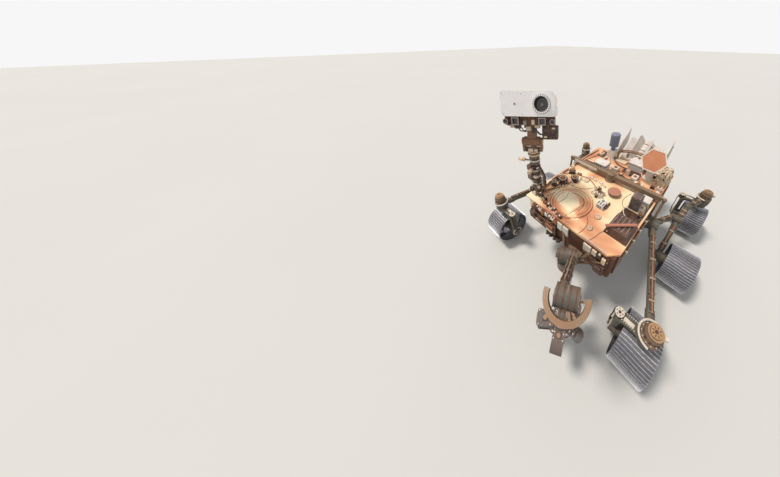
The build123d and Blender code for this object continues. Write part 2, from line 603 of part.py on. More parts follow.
# Power source: finned drum leaning back behind the body, carried by a truss
drum = turned((0, -POWER_LENGTH / 2), (POWER_R - 30, -POWER_LENGTH / 2), (POWER_R, 30 - POWER_LENGTH / 2),
              (POWER_R, POWER_LENGTH / 2 - 30), (POWER_R - 30, POWER_LENGTH / 2), (0, POWER_LENGTH / 2))
fin_outline = Polyline(
    (POWER_R - 20, 50 - POWER_LENGTH / 2), (POWER_FIN_R - 40, 30 - POWER_LENGTH / 2), (POWER_FIN_R, 70 - POWER_LENGTH / 2),
    (POWER_FIN_R, POWER_LENGTH / 2 - 70), (POWER_FIN_R - 40, POWER_LENGTH / 2 - 30), (POWER_R - 20, POWER_LENGTH / 2 - 50),
    close=True)
fin = extrude(Plane.XZ * make_face(fin_outline), FIN_WALL / 2, both=True)
for i in range(FIN_COUNT):
    drum += Rot(0, 0, 360 * (i + 0.5) / FIN_COUNT) * fin
power_centre = (0, POWER_Y, POWER_Z)
power = Pos(*power_centre) * Rot(POWER_TILT - 90, 0, 0) * drum
low_end = (0, POWER_Y - POWER_LENGTH / 2 * cos(radians(POWER_TILT)) + 30, POWER_Z - POWER_LENGTH / 2 * sin(radians(POWER_TILT)) + 20)
rear_face = BODY_REAR + REAR_PANEL_WALL
behind_body = block(around(0, 2000), (rear_face, 3000), (0, 3000))
power += rod((0, rear_face, low_end[2]), low_end, 92)
for x in (-170, 170):
    for z in (BELLY_Z + 60, deck_low - 40):
        power += rod((x, BODY_REAR, z), low_end, 16) & behind_body
nodes["power_source"] = power
rear_panel = block(around(0, BODY_HALF_WIDTH - 60), (BODY_REAR, rear_face), (BELLY_Z + 30, deck_low - 14))
nodes["rear_panel"] = rear_panel

# Heat exchangers: two slanted plates beside the drum, each on a stay and a strap, with a tube loop outside
lean = sin(radians(POWER_TILT)) / cos(radians(POWER_TILT))
plate_front = BODY_REAR + 40
plate_rear = POWER_Y + 210
plate_rise = (plate_rear - plate_front) * lean
plate_outline = Polyline(
    (plate_front, EXCHANGER_LOW_Z), (plate_rear, EXCHANGER_LOW_Z + plate_rise),
    (plate_rear, EXCHANGER_LOW_Z + plate_rise + EXCHANGER_DEPTH), (plate_front, EXCHANGER_LOW_Z + EXCHANGER_DEPTH),
    close=True)
exchanger = Pos(EXCHANGER_X, 0, 0) * extrude(Plane.YZ * make_face(plate_outline), EXCHANGER_WALL / 2, both=True)
exchanger += block(around(EXCHANGER_X, 20), (rear_face, plate_front + 20), (EXCHANGER_LOW_Z + 60, EXCHANGER_LOW_Z + 200))
exchanger += rod((EXCHANGER_X, POWER_Y, POWER_Z), (0, POWER_Y, POWER_Z), 22)
tube_x = EXCHANGER_X + EXCHANGER_WALL / 2 + 8
tube_dy = plate_rear - plate_front - 120
for share in (0.2, 0.4, 0.6, 0.8):
    tube_from = (tube_x, plate_front + 60, EXCHANGER_LOW_Z + 60 * lean + EXCHANGER_DEPTH * share)
    exchanger += rod(tube_from, (tube_x, tube_from[1] + tube_dy, tube_from[2] + tube_dy * lean), 11)
nodes["heat_exchangers"] = both_sides(largest(exchanger - power))

# Deck furniture: plain cases
CASES = (
    # name, x, y, size x, size y, height, corner radius
    ("white_case", RIGHT_EDGE + 370, 150, 190, 150, 130, 12),
    ("calibration_block", 170, -480, 90, 110, 60, 4),
    ("rear_case", 150, BODY_REAR - 180, 220, 180, 112, 16),
    ("side_case", LEFT_EDGE - 75, -90, 110, 120, 70, 10),
)
for name, x, y, width, depth, height, corner in CASES:
    nodes[name] = block(around(x, width / 2), around(y, depth / 2), (DECK_Z, DECK_Z + height), corner)

# Ribbed case: a tower with cooling ribs
ribbed_x = LEFT_EDGE - 140
ribbed_y = -240
ribbed = block(around(ribbed_x, 44), around(ribbed_y, 52), (DECK_Z, DECK_Z + 190))
for i in range(7):
    ribbed += block(around(ribbed_x, 54), around(ribbed_y, 60), (DECK_Z + 14 + 26 * i, DECK_Z + 22 + 26 * i))
nodes["ribbed_case"] = ribbed

# Dark cover: a low faceted lid with ribs and a long bar across it
cover_x = LEFT_EDGE - 110
cover_y = -620
bar_z = DECK_Z + 116
cover = Pos(cover_x, cover_y, DECK_Z) * extrude(Rectangle(250, 280), 92, taper=16)
for i in range(-2, 3):
    cover += block(around(cover_x + 40 * i, 5), around(cover_y, 96), (DECK_Z + 60, DECK_Z + 100))
cover += rod((cover_x - 110, cover_y - 140, bar_z), (cover_x + 112, cover_y + 65, bar_z), 13)
for dx, dy in ((-88, -120), (90, 45)):
    cover += rod((cover_x + dx, cover_y + dy, DECK_Z), (cover_x + dx, cover_y + dy, bar_z), 9)
nodes["dark_cover"] = cover
nodes["deck_disc"] = Pos(180, -205, DECK_Z) * turned((0, 0), (46, 0), (46, 26), (80, 34), (80, 48), (0, 48))

# Sample inlets: two dark reels with lids near the mast
REELS = (
    # x, y, radius, height
    (RIGHT_EDGE + 160, -470, 62, 84),
    (RIGHT_EDGE + 250, -330, 54, 70),
    (RIGHT_EDGE + 100, -580, 40, 60),
)
nodes["sample_inlets"] = [
    Pos(x, y, DECK_Z) * turned((0, 0), (r, 0), (r, 10), (r - 18, 18), (r - 18, h - 18), (r, h - 10), (r, h), (0, h))
    for x, y, r, h in REELS]

# Pump assembly: boxes and a bent tube pair at the left rear corner of the deck
pump = block((LEFT_EDGE - 130, LEFT_EDGE), (BODY_REAR - 180, BODY_REAR - 10), (DECK_Z, DECK_Z + 84), 10)
pump += block((LEFT_EDGE - 100, LEFT_EDGE - 10), (BODY_REAR - 370, BODY_REAR - 200), (DECK_Z, DECK_Z + 56), 10)
pump += rod((LEFT_EDGE - 80, BODY_REAR - 285, DECK_Z + 46), (LEFT_EDGE - 80, BODY_REAR - 100, DECK_Z + 46), 22)
for from_edge in (66, 26):
    tube_x = LEFT_EDGE - from_edge
    tube_path = FilletPolyline(
        (tube_x, BODY_REAR - 60, DECK_Z + 70), (tube_x, BODY_REAR - 90, DECK_Z + 104),
        (tube_x, BODY_REAR - 300, DECK_Z + 104), (tube_x, BODY_REAR - 330, DECK_Z + 40), radius=30)
    pump += sweep(Plane(origin=tube_path @ 0, z_dir=tube_path % 0) * RegularPolygon(10, 8), path=tube_path)
nodes["pump_assembly"] = pump

# Arm: bracket on the front with its braces, then shoulder, upper arm, forearm, wrist and turret,
# built straight ahead and then swung to the left about the shoulder
stator_top = SHOULDER_Z - SHOULDER_R - 34
stator_low = stator_top - 110
in_front = block(around(0, 2000), (-3000, front_face), (0, 3000))
bracket = block(around(SHOULDER_X, 86), (SHOULDER_Y, front_face), (stator_low, stator_top - 16))
bracket += Pos(SHOULDER_X, SHOULDER_Y, stator_low) * turned((0, -16), (70, -16), (92, 6), (92, 110), (0, 110))
for side in (-1, 1):
    foot = (SHOULDER_X + side * 74, SHOULDER_Y + 60, stator_top - 40)
    bracket += rod((SHOULDER_X + side * 210, BODY_FRONT, deck_low - 50), foot, 16)
    bracket += rod((SHOULDER_X + side * 190, BODY_FRONT, BELLY_Z + 50), foot, 16)
nodes["arm_bracket"] = largest(bracket & in_front)

SWING = Pos(SHOULDER_X, SHOULDER_Y, 0) * Rot(0, 0, ARM_AZIMUTH) * Pos(-SHOULDER_X, -SHOULDER_Y, 0)
stator_x = (SHOULDER_X - 70, SHOULDER_X + (LINK_PITCH - JOINT_GAP) / 2)
turntable_top = SHOULDER_Z - SHOULDER_R - 6
shoulder = rod((SHOULDER_X, SHOULDER_Y, stator_top + JOINT_GAP), (SHOULDER_X, SHOULDER_Y, turntable_top), 84)
shoulder += block(stator_x, around(SHOULDER_Y, 60), (stator_top + JOINT_GAP, SHOULDER_Z))
shoulder += disc_x(*stator_x, SHOULDER_Y, SHOULDER_Z, SHOULDER_R)
shoulder += disc_x(stator_x[0] - 26, stator_x[0], SHOULDER_Y, SHOULDER_Z, SHOULDER_R - 26)
nodes["arm_shoulder"] = SWING * shoulder


def along(start, reach, angle):
    """Point in the arm's upright plane, the angle counted up from straight ahead."""
    return (start[0] - reach * cos(radians(angle)), start[1] + reach * sin(radians(angle)))


def arm_link(x, start, start_r, end, end_r, tube_r):
    """Link with a drum at each end and sleeves on its tube."""
    drum_x = around(x, (LINK_PITCH - JOINT_GAP) / 2)
    tube_from = (x, *start)
    tube_to = (x, *end)
    link_solid = disc_x(*drum_x, *start, start_r) + disc_x(*drum_x, *end, end_r) + rod(tube_from, tube_to, tube_r - 5)
    length = (Vector(*tube_to) - Vector(*tube_from)).length
    for at in (start_r + 8, length - end_r - 58, length / 2):
        link_solid += rod(between(tube_from, tube_to, at / length), between(tube_from, tube_to, (at + 50) / length), tube_r)
    return link_solid


shoulder_yz = (SHOULDER_Y, SHOULDER_Z)
elbow_yz = along(shoulder_yz, UPPER_REACH, UPPER_RISE)
wrist_yz = along(elbow_yz, FORE_REACH, FORE_ANGLE)
upper_x = SHOULDER_X + LINK_PITCH
fore_x = SHOULDER_X + 2 * LINK_PITCH
nodes["upper_arm"] = SWING * arm_link(upper_x, shoulder_yz, SHOULDER_R, elbow_yz, ELBOW_R, UPPER_TUBE_R)
nodes["forearm"] = SWING * arm_link(fore_x, elbow_yz, ELBOW_R, wrist_yz, WRIST_R, FORE_TUBE_R)
hub_top = wrist_yz[1] - WRIST_R - 24
hub_low = hub_top - TURRET_HUB_HEIGHT
wrist = disc_x(*around(upper_x, (LINK_PITCH - JOINT_GAP) / 2), *wrist_yz, WRIST_R)
wrist += rod((upper_x, *wrist_yz), (upper_x, wrist_yz[0], hub_top + JOINT_GAP), 36)
nodes["wrist"] = SWING * wrist

# Turret: a hub drum with a wide collar on top, and five tools bolted round it
TURRET = SWING * Pos(upper_x, wrist_yz[0], 0)
turret_hub = turned((0, hub_low), (TURRET_HUB_R, hub_low), (TURRET_HUB_R, hub_top - 30), (TURRET_HUB_R - 12, hub_top - 12),
                    (TURRET_HUB_R - 12, hub_top), (0, hub_top))
for place in PolarLocations(TURRET_BOLT_CIRCLE / 2, TURRET_BOLT_COUNT):
    turret_hub -= Pos(0, 0, hub_low) * place * Cylinder(TURRET_BOLT_R, 2 * TURRET_BOLT_DEPTH)
nodes["turret_hub"] = TURRET * turret_hub
hub_space = Pos(0, 0, hub_low - 200) * Cylinder(TURRET_HUB_R, 600, align=LOW)
tool_low = hub_low - 24


def mounted(tool, heading):
    """A tool built along +X, cut to seat on the hub and turned to its heading."""
    return TURRET * Rot(0, 0, heading) * largest(tool - hub_space)


TOOLS = (
    # name, heading, housing reach, half width, low, gap under the top, drum place, radius, low, top, tip radius, tip length
    ("drill", 191, 226, 62, 10, 20, 150, 44, -40, 60, 12, 44),
    ("brush_tool", 340, 150, 44, 30, 50, 176, 48, 0, 120, 34, 30),
    ("spectrometer", 50, 140, 46, 40, 40, 172, 54, -16, 110, 40, 12),
)
for name, heading, reach, half, low, below_top, drum_at, drum_r, drum_low, drum_top, tip_r, tip in TOOLS:
    tool = block((TURRET_HUB_R - 22, reach), around(0, half), (tool_low + low, hub_top - below_top), 8)
    tool += rod((drum_at, 0, tool_low + drum_low), (drum_at, 0, tool_low + drum_top), drum_r)
    tool += rod((drum_at, 0, tool_low + drum_low - tip), (drum_at, 0, tool_low + drum_low), tip_r)
    nodes[name] = mounted(tool, heading)

sampler = block((TURRET_HUB_R - 22, 160), around(0, 52), (tool_low + 20, hub_top - 30), 10)
sampler += rod((160, -52, tool_low + 80), (160, 52, tool_low + 80), 76)
for y in (-52, 36):
    sampler -= rod((160, y, tool_low + 80), (160, y + 16, tool_low + 80), 56)
nodes["sample_tool"] = mounted(sampler, 270)

hand_camera = block((TURRET_HUB_R - 22, 170), around(0, 46), (tool_low + 30, hub_top - 60), 8)
hand_camera += rod((140, 0, tool_low + 74), (212, 0, tool_low + 74), 40)
hand_camera -= rod((198, 0, tool_low + 74), (260, 0, tool_low + 74), 28)
nodes["hand_camera"] = mounted(hand_camera, 120)


def hazard_camera(x, face, ahead):
    """Twin lenses in a low housing on an upright face."""
    housing = block(around(x, 50), sorted((face, face + ahead * 44)), (BELLY_Z + 36, BELLY_Z + 92))
    for dx in (-26, 26):
        housing += rod((x + dx, face, BELLY_Z + 62), (x + dx, face + ahead * 62, BELLY_Z + 62), 17)
    return housing


# Hazard cameras under the front edge
nodes["front_hazard_cameras"] = [hazard_camera(x, front_face, -1) for x in (-200, -80)]

# Origin on the ground under the middle of the footprint
pieces = {name: solid if isinstance(solid, list) else [solid] for name, solid in nodes.items()}
boxes = [piece.bounding_box() for group in pieces.values() for piece in group]
front_reach = min(box.min.Y for box in boxes)
rear_reach = max(box.max.Y for box in boxes)
SHIFT_Y = -(front_reach + rear_reach) / 2

os.makedirs("parts", exist_ok=True)
for name, group in pieces.items():
    moved = [Pos(0, SHIFT_Y, 0) * piece for piece in group]
    export_step(moved[0] if len(moved) == 1 else Compound(moved), f"parts/{name}.step")
print(len(nodes), "nodes, moved along Y by", SHIFT_Y)
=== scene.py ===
from math import cos, pi, radians, sin, tau

import bmesh
import bpy
from mathutils import Matrix, Vector


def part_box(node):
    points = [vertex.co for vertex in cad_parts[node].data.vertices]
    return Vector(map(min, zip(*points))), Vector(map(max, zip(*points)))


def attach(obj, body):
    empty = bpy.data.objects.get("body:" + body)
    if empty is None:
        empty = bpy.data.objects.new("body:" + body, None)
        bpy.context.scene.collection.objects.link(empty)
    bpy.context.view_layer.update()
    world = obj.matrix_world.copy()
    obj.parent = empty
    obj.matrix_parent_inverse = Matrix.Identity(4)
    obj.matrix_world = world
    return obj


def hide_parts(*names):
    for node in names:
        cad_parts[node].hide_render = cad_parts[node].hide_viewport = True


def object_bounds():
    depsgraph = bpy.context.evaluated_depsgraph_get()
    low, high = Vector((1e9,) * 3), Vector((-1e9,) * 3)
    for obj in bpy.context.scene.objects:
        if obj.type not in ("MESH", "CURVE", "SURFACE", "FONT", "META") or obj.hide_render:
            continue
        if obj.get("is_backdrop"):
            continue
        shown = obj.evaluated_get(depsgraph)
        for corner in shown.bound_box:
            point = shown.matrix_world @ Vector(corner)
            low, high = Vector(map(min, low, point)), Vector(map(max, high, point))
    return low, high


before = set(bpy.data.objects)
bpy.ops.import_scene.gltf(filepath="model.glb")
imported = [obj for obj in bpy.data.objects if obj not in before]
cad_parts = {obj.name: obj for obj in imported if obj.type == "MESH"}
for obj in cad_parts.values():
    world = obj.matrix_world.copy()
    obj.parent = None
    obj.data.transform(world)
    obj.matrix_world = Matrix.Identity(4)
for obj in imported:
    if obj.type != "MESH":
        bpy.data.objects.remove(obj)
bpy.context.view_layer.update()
scene = bpy.context.scene
scene.view_settings.view_transform = "Standard"

# Stage: a pale studio floor under the wheels, soft sky light and one broad sun lamp.
# The wide lens stands above the arm, in front of the left front wheel, and looks down on the deck.
PHOTO_WIDTH = 780
LENS_PIXELS = 170
SENSOR = 36.0
CAMERA_PLACE = (0.724, -1.777, 2.598)
CAMERA_AZIMUTH = 42.62
CAMERA_ELEVATION = 40.56
AXIS_PIXELS_RIGHT = 170.8
AXIS_PIXELS_UP = 55.8
FLOOR_SIZE = 120.0
SKY_STRENGTH = 0.55
SUN_STRENGTH = 2.5
SUN_WIDTH = radians(12)
SUN_TURN = (radians(22), 0, radians(-70))
MIX_FIRST, MIX_SECOND, MIX_RESULT = 6, 7, 2
middle_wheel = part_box("wheel_middle_left")
AXLE_Y = (middle_wheel[0].y + middle_wheel[1].y) / 2


def at(x, y, z):
    """A place in metres, its y counted from the middle axle as in the part's source."""
    return Vector((x, y + AXLE_Y, z))


def feed(tree, socket, value):
    """Sets a socket to a value, or joins it to the socket that feeds it."""
    if isinstance(value, bpy.types.NodeSocket):
        tree.links.new(value, socket)
    else:
        socket.default_value = value


def node(tree, kind, props=None, **inputs):
    """Adds one node; inputs are values or the sockets that feed them, spaces written as underscores."""
    made = tree.nodes.new(kind)
    for key, value in (props or {}).items():
        setattr(made, key, value)
    for key, value in inputs.items():
        feed(tree, made.inputs[key.replace("_", " ")], value)
    return made


def maths(tree, operation, first, second=0.0):
    """One Math node on two values or sockets."""
    made = tree.nodes.new("ShaderNodeMath")
    made.operation = operation
    for socket, value in zip(made.inputs, (first, second)):
        feed(tree, socket, value)
    return made.outputs[0]


def blend(tree, share, first, second):
    """Mix of two colours, or of the sockets that give them, by the second one's share."""
    made = node(tree, "ShaderNodeMix", {"data_type": "RGBA"}, Factor=share)
    feed(tree, made.inputs[MIX_FIRST], first)
    feed(tree, made.inputs[MIX_SECOND], second)
    return made.outputs[MIX_RESULT]


def shade(red, green, blue):
    """A colour given as it looks on a screen, each part from 0 to 1, in the renderer's linear values."""
    return tuple(((c + 0.055) / 1.055) ** 2.4 if c > 0.04 else c / 12.92 for c in (red, green, blue)) + (1.0,)


def new_material(name):
    """A material, its node tree and the surface shader that is joined to its output."""
    material = bpy.data.materials.new(name)
    material.use_nodes = True
    return material, material.node_tree, material.node_tree.nodes["Principled BSDF"]


floor_material, tree, surface = new_material("studio_floor")
floor_grain = node(tree, "ShaderNodeTexNoise", Scale=30.0, Detail=3.0).outputs["Fac"]
floor_tone = blend(tree, floor_grain, shade(0.80, 0.79, 0.77), shade(0.82, 0.81, 0.79))
tree.links.new(floor_tone, surface.inputs["Base Color"])
surface.inputs["Roughness"].default_value = 0.9
floor_mesh = bpy.data.meshes.new("studio_floor")
half = FLOOR_SIZE / 2
floor_corners = [(-half, -half, 0), (half, -half, 0), (half, half, 0), (-half, half, 0)]
floor_mesh.from_pydata(floor_corners, [], [(0, 1, 2, 3)])
floor_mesh.materials.append(floor_material)
floor = bpy.data.objects.new("studio_floor", floor_mesh)
scene.collection.objects.link(floor)
floor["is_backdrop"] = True

world = bpy.data.worlds.new("studio")
scene.world = world
world.use_nodes = True
tree = world.node_tree
tree.nodes.clear()
path = node(tree, "ShaderNodeLightPath")
seen = maths(tree, "ADD", path.outputs["Is Camera Ray"], path.outputs["Is Glossy Ray"])
seen = maths(tree, "ADD", seen, path.outputs["Is Transmission Ray"])
sky_light = node(tree, "ShaderNodeBackground", Color=(0.93, 0.96, 1.0, 1.0), Strength=SKY_STRENGTH)
backdrop = node(tree, "ShaderNodeBackground", Color=(0.93, 0.93, 0.93, 1.0), Strength=1.0)
mix = node(tree, "ShaderNodeMixShader", Fac=maths(tree, "MINIMUM", seen, 1.0))
tree.links.new(sky_light.outputs[0], mix.inputs[1])
tree.links.new(backdrop.outputs[0], mix.inputs[2])
tree.links.new(mix.outputs[0], node(tree, "ShaderNodeOutputWorld").inputs["Surface"])

sun = bpy.data.objects.new("sun", bpy.data.lights.new("sun", "SUN"))
sun.data.energy = SUN_STRENGTH
sun.data.angle = SUN_WIDTH
sun.data.color = (1.0, 0.96, 0.90)
sun.rotation_euler = SUN_TURN
scene.collection.objects.link(sun)

camera = bpy.data.objects.new("camera", bpy.data.cameras.new("camera"))
camera.data.lens = LENS_PIXELS / PHOTO_WIDTH * SENSOR
camera.data.sensor_width = SENSOR
camera.data.shift_x = -AXIS_PIXELS_RIGHT / PHOTO_WIDTH
camera.data.shift_y = -AXIS_PIXELS_UP / PHOTO_WIDTH
camera.location = at(*CAMERA_PLACE)
camera.rotation_euler = (radians(90 - CAMERA_ELEVATION), 0, radians(CAMERA_AZIMUTH))
scene.collection.objects.link(camera)
scene.camera = camera


# Wheels: each is milled from one block of aluminium, a thin skin with gently bent cross ribs and a
# stiffening ring inside. Six bent titanium spokes hold it to the hub. Bare metal, scuffed and dusty. The skin
# is painted darker as shade between the ribs, and the ribs lighter as a painted highlight.
DUST = shade(0.66, 0.42, 0.27)
EDGE_WIDTH = 0.004
GRAIN_SCALE = 160.0
SCUFF_SCALE = 38.0


def remap(tree, value, low, high, to_low=0.0, to_high=1.0):
    """Carries a value from one range to another and holds it there."""
    made = node(tree, "ShaderNodeMapRange", Value=value, From_Min=low, From_Max=high, To_Min=to_low,
                To_Max=to_high)
    return made.outputs[0]


def weather_group():
    """Shared finish: dust that lies on upper faces in patches, worn edges and fine grain."""
    group = bpy.data.node_groups.new("weather", "ShaderNodeTree")
    sockets = (
        ("Paint", "NodeSocketColor", (0.5, 0.5, 0.5, 1)),
        ("Dust", "NodeSocketColor", DUST),
        ("Bare", "NodeSocketColor", (0.6, 0.6, 0.6, 1)),
        ("Dust amount", "NodeSocketFloat", 0.5),
        ("Patch size", "NodeSocketFloat", 0.12),
        ("Wear amount", "NodeSocketFloat", 0.5),
        ("Clean roughness", "NodeSocketFloat", 0.5),
    )
    for label, kind, value in sockets:
        group.interface.new_socket(label, in_out="INPUT", socket_type=kind).default_value = value
    for label, kind in (("Color", "NodeSocketColor"), ("Roughness", "NodeSocketFloat"),
                        ("Clean mask", "NodeSocketFloat"), ("Height", "NodeSocketFloat")):
        group.interface.new_socket(label, in_out="OUTPUT", socket_type=kind)
    given = group.nodes.new("NodeGroupInput").outputs
    result = group.nodes.new("NodeGroupOutput").inputs
    place = node(group, "ShaderNodeTexCoord")
    up = node(group, "ShaderNodeSeparateXYZ", Vector=place.outputs["Normal"]).outputs["Z"]
    lies = remap(group, up, -0.5, 0.9, 0.22)
    patches = node(group, "ShaderNodeTexNoise", Vector=place.outputs["Object"], Detail=5.0, Roughness=0.62,
                   Scale=maths(group, "DIVIDE", 1.0, given["Patch size"]))
    spread = remap(group, patches.outputs["Fac"], 0.34, 0.66, 0.2, 1.35)
    film = maths(group, "MULTIPLY", lies, spread)
    film = maths(group, "MINIMUM", maths(group, "MULTIPLY", film, given["Dust amount"]), 1.0)
    grain = node(group, "ShaderNodeTexNoise", Vector=place.outputs["Object"], Scale=GRAIN_SCALE, Detail=4.0,
                 Roughness=0.7)
    tint = remap(group, grain.outputs["Fac"], 0.3, 0.7, 0.80, 1.12)
    edge = node(group, "ShaderNodeVectorMath", {"operation": "DOT_PRODUCT"})
    soft_edge = node(group, "ShaderNodeBevel", {"samples": 4}, Radius=EDGE_WIDTH)
    group.links.new(soft_edge.outputs[0], edge.inputs[0])
    group.links.new(node(group, "ShaderNodeNewGeometry").outputs["Normal"], edge.inputs[1])
    worn = remap(group, edge.outputs["Value"], 0.995, 0.90)
    scuffs = node(group, "ShaderNodeTexNoise", Vector=place.outputs["Object"], Scale=SCUFF_SCALE, Detail=3.0)
    broken = remap(group, scuffs.outputs["Fac"], 0.42, 0.58)
    rubbed = maths(group, "MULTIPLY", maths(group, "MULTIPLY", worn, broken), given["Wear amount"])
    toned = node(group, "ShaderNodeVectorMath", {"operation": "SCALE"}, Scale=tint)
    group.links.new(given["Paint"], toned.inputs[0])
    dusty = blend(group, film, toned.outputs[0], given["Dust"])
    group.links.new(blend(group, rubbed, dusty, given["Bare"]), result["Color"])
    group.links.new(remap(group, film, 0.0, 1.0, given["Clean roughness"], 0.92), result["Roughness"])
    group.links.new(maths(group, "SUBTRACT", 1.0, film), result["Clean mask"])
    half_grain = maths(group, "MULTIPLY", grain.outputs["Fac"], 0.5)
    group.links.new(maths(group, "ADD", half_grain, maths(group, "MULTIPLY", film, 0.5)), result["Height"])
    return group


weather = weather_group()


def finish(name, paint, dust_amount=0.5, roughness=0.5, metal=False, dust=DUST, bare=(0.62, 0.60, 0.58, 1.0),
           wear=0.5, patch=0.12, relief=0.25):
    """A weathered paint or metal: its colour under dust, bare metal along worn edges."""
    material, tree, surface = new_material(name)
    film = node(tree, "ShaderNodeGroup", {"node_tree": weather}, Paint=paint, Dust=dust, Bare=bare,
                Dust_amount=dust_amount, Patch_size=patch, Wear_amount=wear, Clean_roughness=roughness)
    tree.links.new(film.outputs["Color"], surface.inputs["Base Color"])
    tree.links.new(film.outputs["Roughness"], surface.inputs["Roughness"])
    if metal:
        tree.links.new(film.outputs["Clean mask"], surface.inputs["Metallic"])
    bump = node(tree, "ShaderNodeBump", Strength=relief, Distance=0.002, Height=film.outputs["Height"])
    tree.links.new(bump.outputs[0], surface.inputs["Normal"])
    return material


def dress(material, *names):
    """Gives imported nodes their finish."""
    for name in names:
        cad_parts[name].material_slots[0].material = material


def keep(name, mesh, material, body, replaced=None, sharp=32):
    """Makes a mesh a piece of the object that rides on a body."""
    if material:
        mesh.materials.clear()
        mesh.materials.append(material)
    mesh.shade_smooth()
    mesh.set_sharp_from_angle(angle=radians(sharp))
    piece = bpy.data.objects.new(name, mesh)
    scene.collection.objects.link(piece)
    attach(piece, body)
    if replaced:
        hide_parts(replaced)
    return piece


def to_mesh(name, shape):
    """Ends the work on a shape and gives its mesh, faces outwards."""
    bmesh.ops.remove_doubles(shape, verts=shape.verts, dist=1e-6)
    bmesh.ops.recalc_face_normals(shape, faces=shape.faces)
    mesh = bpy.data.meshes.new(name)
    shape.to_mesh(mesh)
    shape.free()
    return mesh


def keep_shape(name, shape, material, body):
    """Ends the work on a shape and makes it a piece of one material."""
    return keep(name, to_mesh(name, shape), material, body)


def add_lathe(shape, profile, steps, place):
    """Turns a closed outline of (radius, height) points about Z and sets it at a place."""
    rings = []
    for i in range(steps):
        turn = Matrix.Rotation(tau * i / steps, 4, "Z")
        spun = place @ turn
        rings.append([shape.verts.new(spun @ Vector((radius, 0, height))) for radius, height in profile])
    count = len(profile)
    for i in range(steps):
        near, far = rings[i], rings[(i + 1) % steps]
        for j in range(count):
            k = (j + 1) % count
            corners = [near[j], near[k], far[k], far[j]]
            if profile[j][0] < 1e-9 and profile[k][0] < 1e-9:
                continue
            if profile[j][0] < 1e-9:
                corners = [near[j], near[k], far[k]]
            elif profile[k][0] < 1e-9:
                corners = [near[j], near[k], far[j]]
            shape.faces.new(corners)


RIB_COUNT = 48
RIB_BEND = radians(0.7)
RIB_STEPS = 14
RIB_HEIGHT = 0.013
RIB_GAP = 0.0006
RIB_INSET = 0.004
RIB_FOOT = 0.0038
RIB_TIP = 0.0018
SKIN = 0.004
LIP = 0.012
DRUM_STEPS = 96
HUB_STEPS = 48
HUB_LOW, HUB_HIGH = -0.05, 0.086
SPOKE_COUNT = 6
SPOKE_STEPS = 16
SPOKE_ROOT = 0.078
SPOKE_SWEEP = radians(34)
ALONG_X = Matrix.Rotation(pi / 2, 4, "Y")

# the same aluminium twice: the darker skin is painted shade between the ribs, the lighter ribs a painted
# highlight
wheel_metal = finish("wheel_metal", shade(0.45, 0.45, 0.47), dust_amount=0.22, roughness=0.36, metal=True,
                     dust=shade(0.36, 0.27, 0.23), bare=(0.66, 0.66, 0.69, 1), wear=0.6, patch=0.18,
                     relief=0.12)
rib_metal = finish("rib_metal", shade(0.80, 0.80, 0.82), dust_amount=0.16, roughness=0.32, metal=True,
                   dust=shade(0.50, 0.38, 0.30), bare=(0.92, 0.92, 0.94, 1), wear=0.8, patch=0.10,
                   relief=0.08)


def new_tree(name, *sizes):
    """Geometry node tree with a geometry, named sizes and a material as inputs, and a geometry out."""
    group = bpy.data.node_groups.new(name, "GeometryNodeTree")
    group.interface.new_socket("Geometry", in_out="INPUT", socket_type="NodeSocketGeometry")
    for label, kind, value in sizes:
        group.interface.new_socket(label, in_out="INPUT", socket_type=kind).default_value = value
    group.interface.new_socket("Material", in_out="INPUT", socket_type="NodeSocketMaterial")
    group.interface.new_socket("Geometry", in_out="OUTPUT", socket_type="NodeSocketGeometry")
    return group, group.nodes.new("NodeGroupInput").outputs


def end_tree(group, given, instances):
    """Makes a tree's instances real, gives them the material and joins them to the output."""
    solid = node(group, "GeometryNodeRealizeInstances", Geometry=instances.outputs[0])
    painted = node(group, "GeometryNodeSetMaterial", Geometry=solid.outputs[0], Material=given["Material"])
    group.links.new(painted.outputs[0], group.nodes.new("NodeGroupOutput").inputs[0])
    return group


def rib_tree():
    """Node tree that stands copies of a cross rib round a drum whose axle is along Z."""
    group, given = new_tree("wheel_ribs", ("Count", "NodeSocketInt", RIB_COUNT),
                            ("Drum radius", "NodeSocketFloat", 0.25))
    circle = node(group, "GeometryNodeMeshCircle", Radius=given["Drum radius"], Vertices=given["Count"])
    index = node(group, "GeometryNodeInputIndex")
    turn = maths(group, "MULTIPLY", index.outputs[0], maths(group, "DIVIDE", tau, given["Count"]))
    spin = node(group, "ShaderNodeCombineXYZ", Z=turn)
    euler = node(group, "FunctionNodeEulerToRotation", Euler=spin.outputs[0])
    ribs = node(group, "GeometryNodeInstanceOnPoints", Points=circle.outputs["Mesh"],
                Instance=given["Geometry"], Rotation=euler.outputs[0])
    return end_tree(group, given, ribs)


def grow(base, tree, **values):
    """Runs a node tree on a base mesh and gives the result as a plain mesh."""
    carrier = bpy.data.objects.new("carrier", base)
    scene.collection.objects.link(carrier)
    modifier = carrier.modifiers.new("grow", "NODES")
    modifier.node_group = tree
    for item in tree.interface.items_tree:
        label = item.name.replace(" ", "_")
        if item.in_out == "INPUT" and label in values:
            modifier[item.identifier] = values[label]
    mesh = bpy.data.meshes.new_from_object(carrier.evaluated_get(bpy.context.evaluated_depsgraph_get()))
    bpy.data.objects.remove(carrier)
    return mesh


